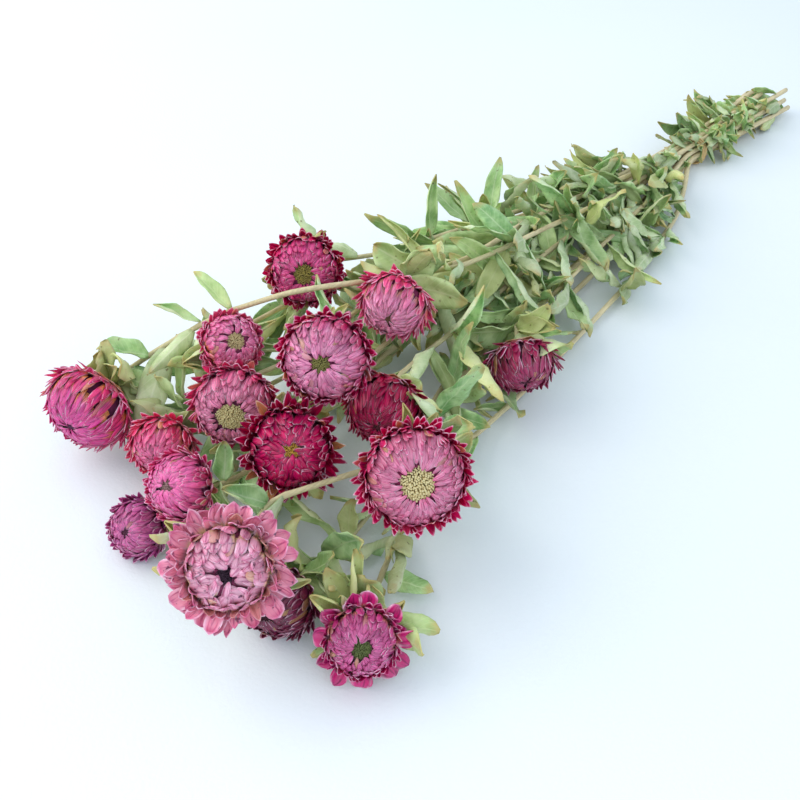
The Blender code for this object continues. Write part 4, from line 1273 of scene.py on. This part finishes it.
def leaf_blade(leaf, dice):
    """Where the points of a leaf go."""
    outline = calyx_outline if leaf.calyx else leaf_outline
    roll = dice.choice((dice.uniform(-1.1, 0.6), dice.uniform(0.5, 1.5), dice.uniform(1.4, 2.5)))
    fold = dice.uniform(0.0, 0.55)
    ripple = leaf.half * dice.uniform(0.06, 0.30)
    waves = dice.uniform(1.0, 2.6)
    phase = dice.uniform(0.0, 6.3)
    offbeat = dice.uniform(1.0, 3.0)
    hook = dice.uniform(-0.26, 0.22) * leaf.length
    swerve = dice.uniform(-0.13, 0.13) * leaf.length
    twist = dice.uniform(-0.9, 0.9)
    seed = Vector((dice.uniform(0, 90), dice.uniform(0, 90), 0.0))

    def place(u, v):
        heading = leaf.heading(v)
        face = leaf.face(v)
        sideways = heading.cross(face)
        turn = Matrix.Rotation(twist * (v - 0.3), 3, heading)
        face, sideways = turn @ face, turn @ sideways
        half = leaf.half * outline(v) * 1.08
        bend = roll * min(1.0, 2.2 * v)
        if abs(bend) > 0.05:
            aside = half * math.sin(bend * u) / bend
            lift = half * (1.0 - math.cos(bend * u)) / bend
        else:
            aside, lift = half * u, 0.0
        lift += fold * half * abs(u)
        lift += ripple * u * u * math.sin(2.0 * math.pi * waves * v + phase + (offbeat if u > 0.0 else 0.0))
        late = max(0.0, (v - 0.5) / 0.5)
        point = leaf.middle(v) + sideways * (aside + swerve * late ** 2) + face * (lift + hook * late ** 2)
        return point + face * noise.noise(point * 0.20 + seed) * 1.6 * min(1.0, 3.0 * v)

    return place


# %% [markdown]
# ## More leaves
#
# The solids carry the large leaves. A dried bunch has many more small ones: a pale ruff of short crinkled
# leaves right behind each head, and narrow ones along the stalks and over the tie. Each is drawn at random
# and kept only if it stays out of the blooms, in front of none of them, above the table and inside the
# mass that the large leaves already fill. A search tree answers how near the closest surface is.

# %% More leaves
FREE_AHEAD = 60.0
FREE_ASIDE = 0.47
REACH_OUT = 9.0


def search_tree(names):
    """One tree with the triangles of several solids, in millimetres."""
    shape = bmesh.new()
    for name in names:
        shape.from_mesh(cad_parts[name].data)
    bmesh.ops.scale(shape, vec=(1.0 / MM, 1.0 / MM, 1.0 / MM), verts=shape.verts)
    tree = BVHTree.FromBMesh(shape)
    shape.free()
    return tree


bloom_tree = search_tree(["bloom_" + name for name in BLOOMS])
foliage_tree = search_tree(["stem_" + name for name in BLOOMS] + ["bloom_" + name for name in BLOOMS])


def leaf_fits(leaf, clearance):
    """True where a new leaf is clear of the blooms, hides no face and stays in the mass."""
    for t in (0.25, 0.5, 0.75, 1.0):
        sideways = leaf.heading(t).cross(leaf.face(t)) * leaf.half * (0.9 if t < 1.0 else 0.0)
        for point in (leaf.middle(t) - sideways, leaf.middle(t), leaf.middle(t) + sideways):
            if point.z < 1.2:
                return False
            spot, normal, _, gap = bloom_tree.find_nearest(point)
            if gap < clearance or (point - spot).dot(normal) < 0.0:
                return False
            for bloom in BLOOMS.values():
                offset = point - (Vector(bloom.at) - ORIGIN)
                ahead = offset.dot(bloom.axis)
                aside = (offset - bloom.axis * ahead).length
                if 0.2 * bloom.radius < ahead < FREE_AHEAD and aside < FREE_ASIDE * bloom.width:
                    return False
    return foliage_tree.find_nearest(leaf.tip)[3] < REACH_OUT


def grown_leaf(line, distance, dice, length, width, leans, calyx):
    """A leaf drawn at random from a stalk: it leans towards the head and arches."""
    towards_head = -line.heading(distance)
    side = towards_head.orthogonal().normalized()
    side.rotate(Matrix.Rotation(dice.uniform(0.0, 2.0 * math.pi), 3, towards_head))
    lean = math.radians(dice.uniform(*leans))
    direction = (math.cos(lean) * towards_head + math.sin(lean) * side).normalized()
    root = line.at(distance) + side * 1.0
    tip = root + direction * length
    face = (towards_head - direction * towards_head.dot(direction)).normalized()
    face.rotate(Matrix.Rotation(math.radians(dice.uniform(-50.0, 50.0)), 3, direction))
    bow = face * dice.uniform(-0.28, 0.14) * length
    return Leaf(root, 0.5 * (root + tip) + bow, tip, 0.5 * width, [face, face], calyx)


def more_leaves(line, dice, count, distances, lengths, widths, leans, calyx, clearance):
    """Up to count leaves between two distances, each tried a few times and a little shorter each time."""
    leaves = []
    for _ in range(count):
        for attempt in range(14):
            shrink = 1.0 - 0.04 * attempt
            leaf = grown_leaf(
                line,
                dice.uniform(*distances),
                dice,
                dice.uniform(*lengths) * shrink,
                dice.uniform(*widths) * shrink,
                leans,
                calyx,
            )
            if leaf_fits(leaf, clearance):
                leaves.append(leaf)
                break
    return leaves


FULL_RUFFS = ("01", "07", "09", "11", "13", "15")
foliage = {}
for name, (leaves, _) in stems.items():
    dice = random.Random("more leaves " + name)
    line = lines[name]
    tie = line.nearest(TIE_MIDDLE)
    ruffs = 11 if name in FULL_RUFFS else 6
    ruff = more_leaves(line, dice, ruffs, (1.5, 16.0), (15.0, 30.0), (9.0, 15.0), (35.0, 100.0), True, 0.3)
    middle = more_leaves(line, dice, 18, (20.0, 0.80 * tie), (26.0, 52.0), (6.0, 11.5), (15.0, 85.0), False, 1.0)
    neck = more_leaves(line, dice, 4, (tie - 110.0, tie + 20.0), (28.0, 50.0), (6.0, 11.0), (8.0, 70.0), False, 1.0)
    tail = more_leaves(line, dice, 6, (tie + 12.0, line.total), (18.0, 36.0), (5.0, 10.0), (8.0, 75.0), False, 1.0)
    foliage[name] = leaves + ruff + middle + neck + tail
    print("stem", name, "gains", len(ruff), "ruff leaves,", len(middle) + len(neck) + len(tail), "along the stalk")

# %% Leaves
for name, leaves in foliage.items():
    dice = random.Random("leaf shapes " + name)
    paper = start_paper()
    for leaf in leaves:
        withered = dice.choice((0.0, 0.05, 0.1, 0.15, 0.3, 0.6))
        if leaf.calyx:
            withered = dice.uniform(0.15, 0.65)
        lay_blade(paper, LEAF_ACROSS, LEAF_ALONG, leaf_blade(leaf, dice), dice.random(), wither=withered)
    finish_piece(
        "leaves_" + name,
        paper.shape,
        leaf_materials,
        "stem_" + name,
        wall=LEAF_WALL,
        back_material=1,
    )
print("leaves in all:", sum(len(leaves) for leaves in foliage.values()))

# %% [markdown]
# ## Tie
#
# The photograph hides what holds the bunch. Such bunches are held by a natural rubber band wound a few
# times round the stalks, so three strands lie side by side in the ring that the solid keeps for them. Each
# strand is a small ring extruded round a squarish loop.

# %% Tie
TIE_INNER = (10.8, 7.4)
STRAND = 0.55
STRAND_SHIFTS = (-1.7, 0.0, 1.7)
STRAND_STEPS = 48


def natural_rubber():
    """Old latex: dull amber, with a fine dusty bloom."""
    material, tree, shader = start_material("natural_rubber")
    place = add_node(tree, "ShaderNodeTexCoord")
    dust = add_node(tree, "ShaderNodeTexNoise", {"Vector": place.outputs["Object"], "Scale": 700.0, "Detail": 3.0})
    tint = add_node(
        tree, "ShaderNodeMix", {0: dust.outputs["Fac"], 6: linear("B58E4E"), 7: linear("D8BE8C")}, data_type="RGBA"
    )
    bump = add_node(tree, "ShaderNodeBump", {"Height": dust.outputs["Fac"], "Strength": 0.25, "Distance": 0.0002})
    tree.links.new(tint.outputs[2], shader.inputs["Base Color"])
    tree.links.new(bump.outputs["Normal"], shader.inputs["Normal"])
    shader.inputs["Roughness"].default_value = 0.6
    return material


def strand_point(angle, shift):
    """Point on the squarish loop round the stalks."""
    sideways = TIE_HEADING.cross(UP)
    cosine, sine = math.cos(angle), math.sin(angle)
    across = (TIE_INNER[0] + STRAND) * math.copysign(abs(cosine) ** (2.0 / 3.0), cosine)
    height = (TIE_INNER[1] + STRAND) * math.copysign(abs(sine) ** (2.0 / 3.0), sine)
    return TIE_MIDDLE + sideways * across + UP * height + TIE_HEADING * shift


shape = bmesh.new()
for shift in STRAND_SHIFTS:
    slide = 0.35 * shift
    angles = [2.0 * math.pi * step / STRAND_STEPS for step in range(STRAND_STEPS + 1)]
    loop = [strand_point(angle, shift + slide * math.sin(angle)) for angle in angles]
    frames = []
    for before, point, after in zip([loop[-2], *loop], loop, [*loop[1:], loop[1]]):
        heading = (after - before).normalized()
        outwards = (TIE_HEADING - heading * TIE_HEADING.dot(heading)).normalized()
        columns = (outwards * STRAND, heading.cross(outwards) * STRAND, heading * STRAND)
        frames.append(Matrix.Translation(point) @ Matrix(columns).transposed().to_4x4())
    ring = bmesh.ops.create_circle(shape, cap_ends=False, segments=8, radius=1.0, matrix=frames[0])["verts"]
    first = list({edge for vert in ring for edge in vert.link_edges})
    edges = first
    for before, after in zip(frames, frames[1:-1]):
        made = bmesh.ops.extrude_edge_only(shape, edges=edges)["geom"]
        verts = {item for item in made if isinstance(item, bmesh.types.BMVert)}
        edges = [item for item in made if isinstance(item, bmesh.types.BMEdge) and verts.issuperset(item.verts)]
        bmesh.ops.transform(shape, matrix=after @ before.inverted(), verts=list(verts))
    bmesh.ops.bridge_loops(shape, edges=first + edges)
bmesh.ops.recalc_face_normals(shape, faces=shape.faces)
finish_piece("tie_strands", shape, [natural_rubber()], "tie")
print("tie strands:", len(STRAND_SHIFTS))
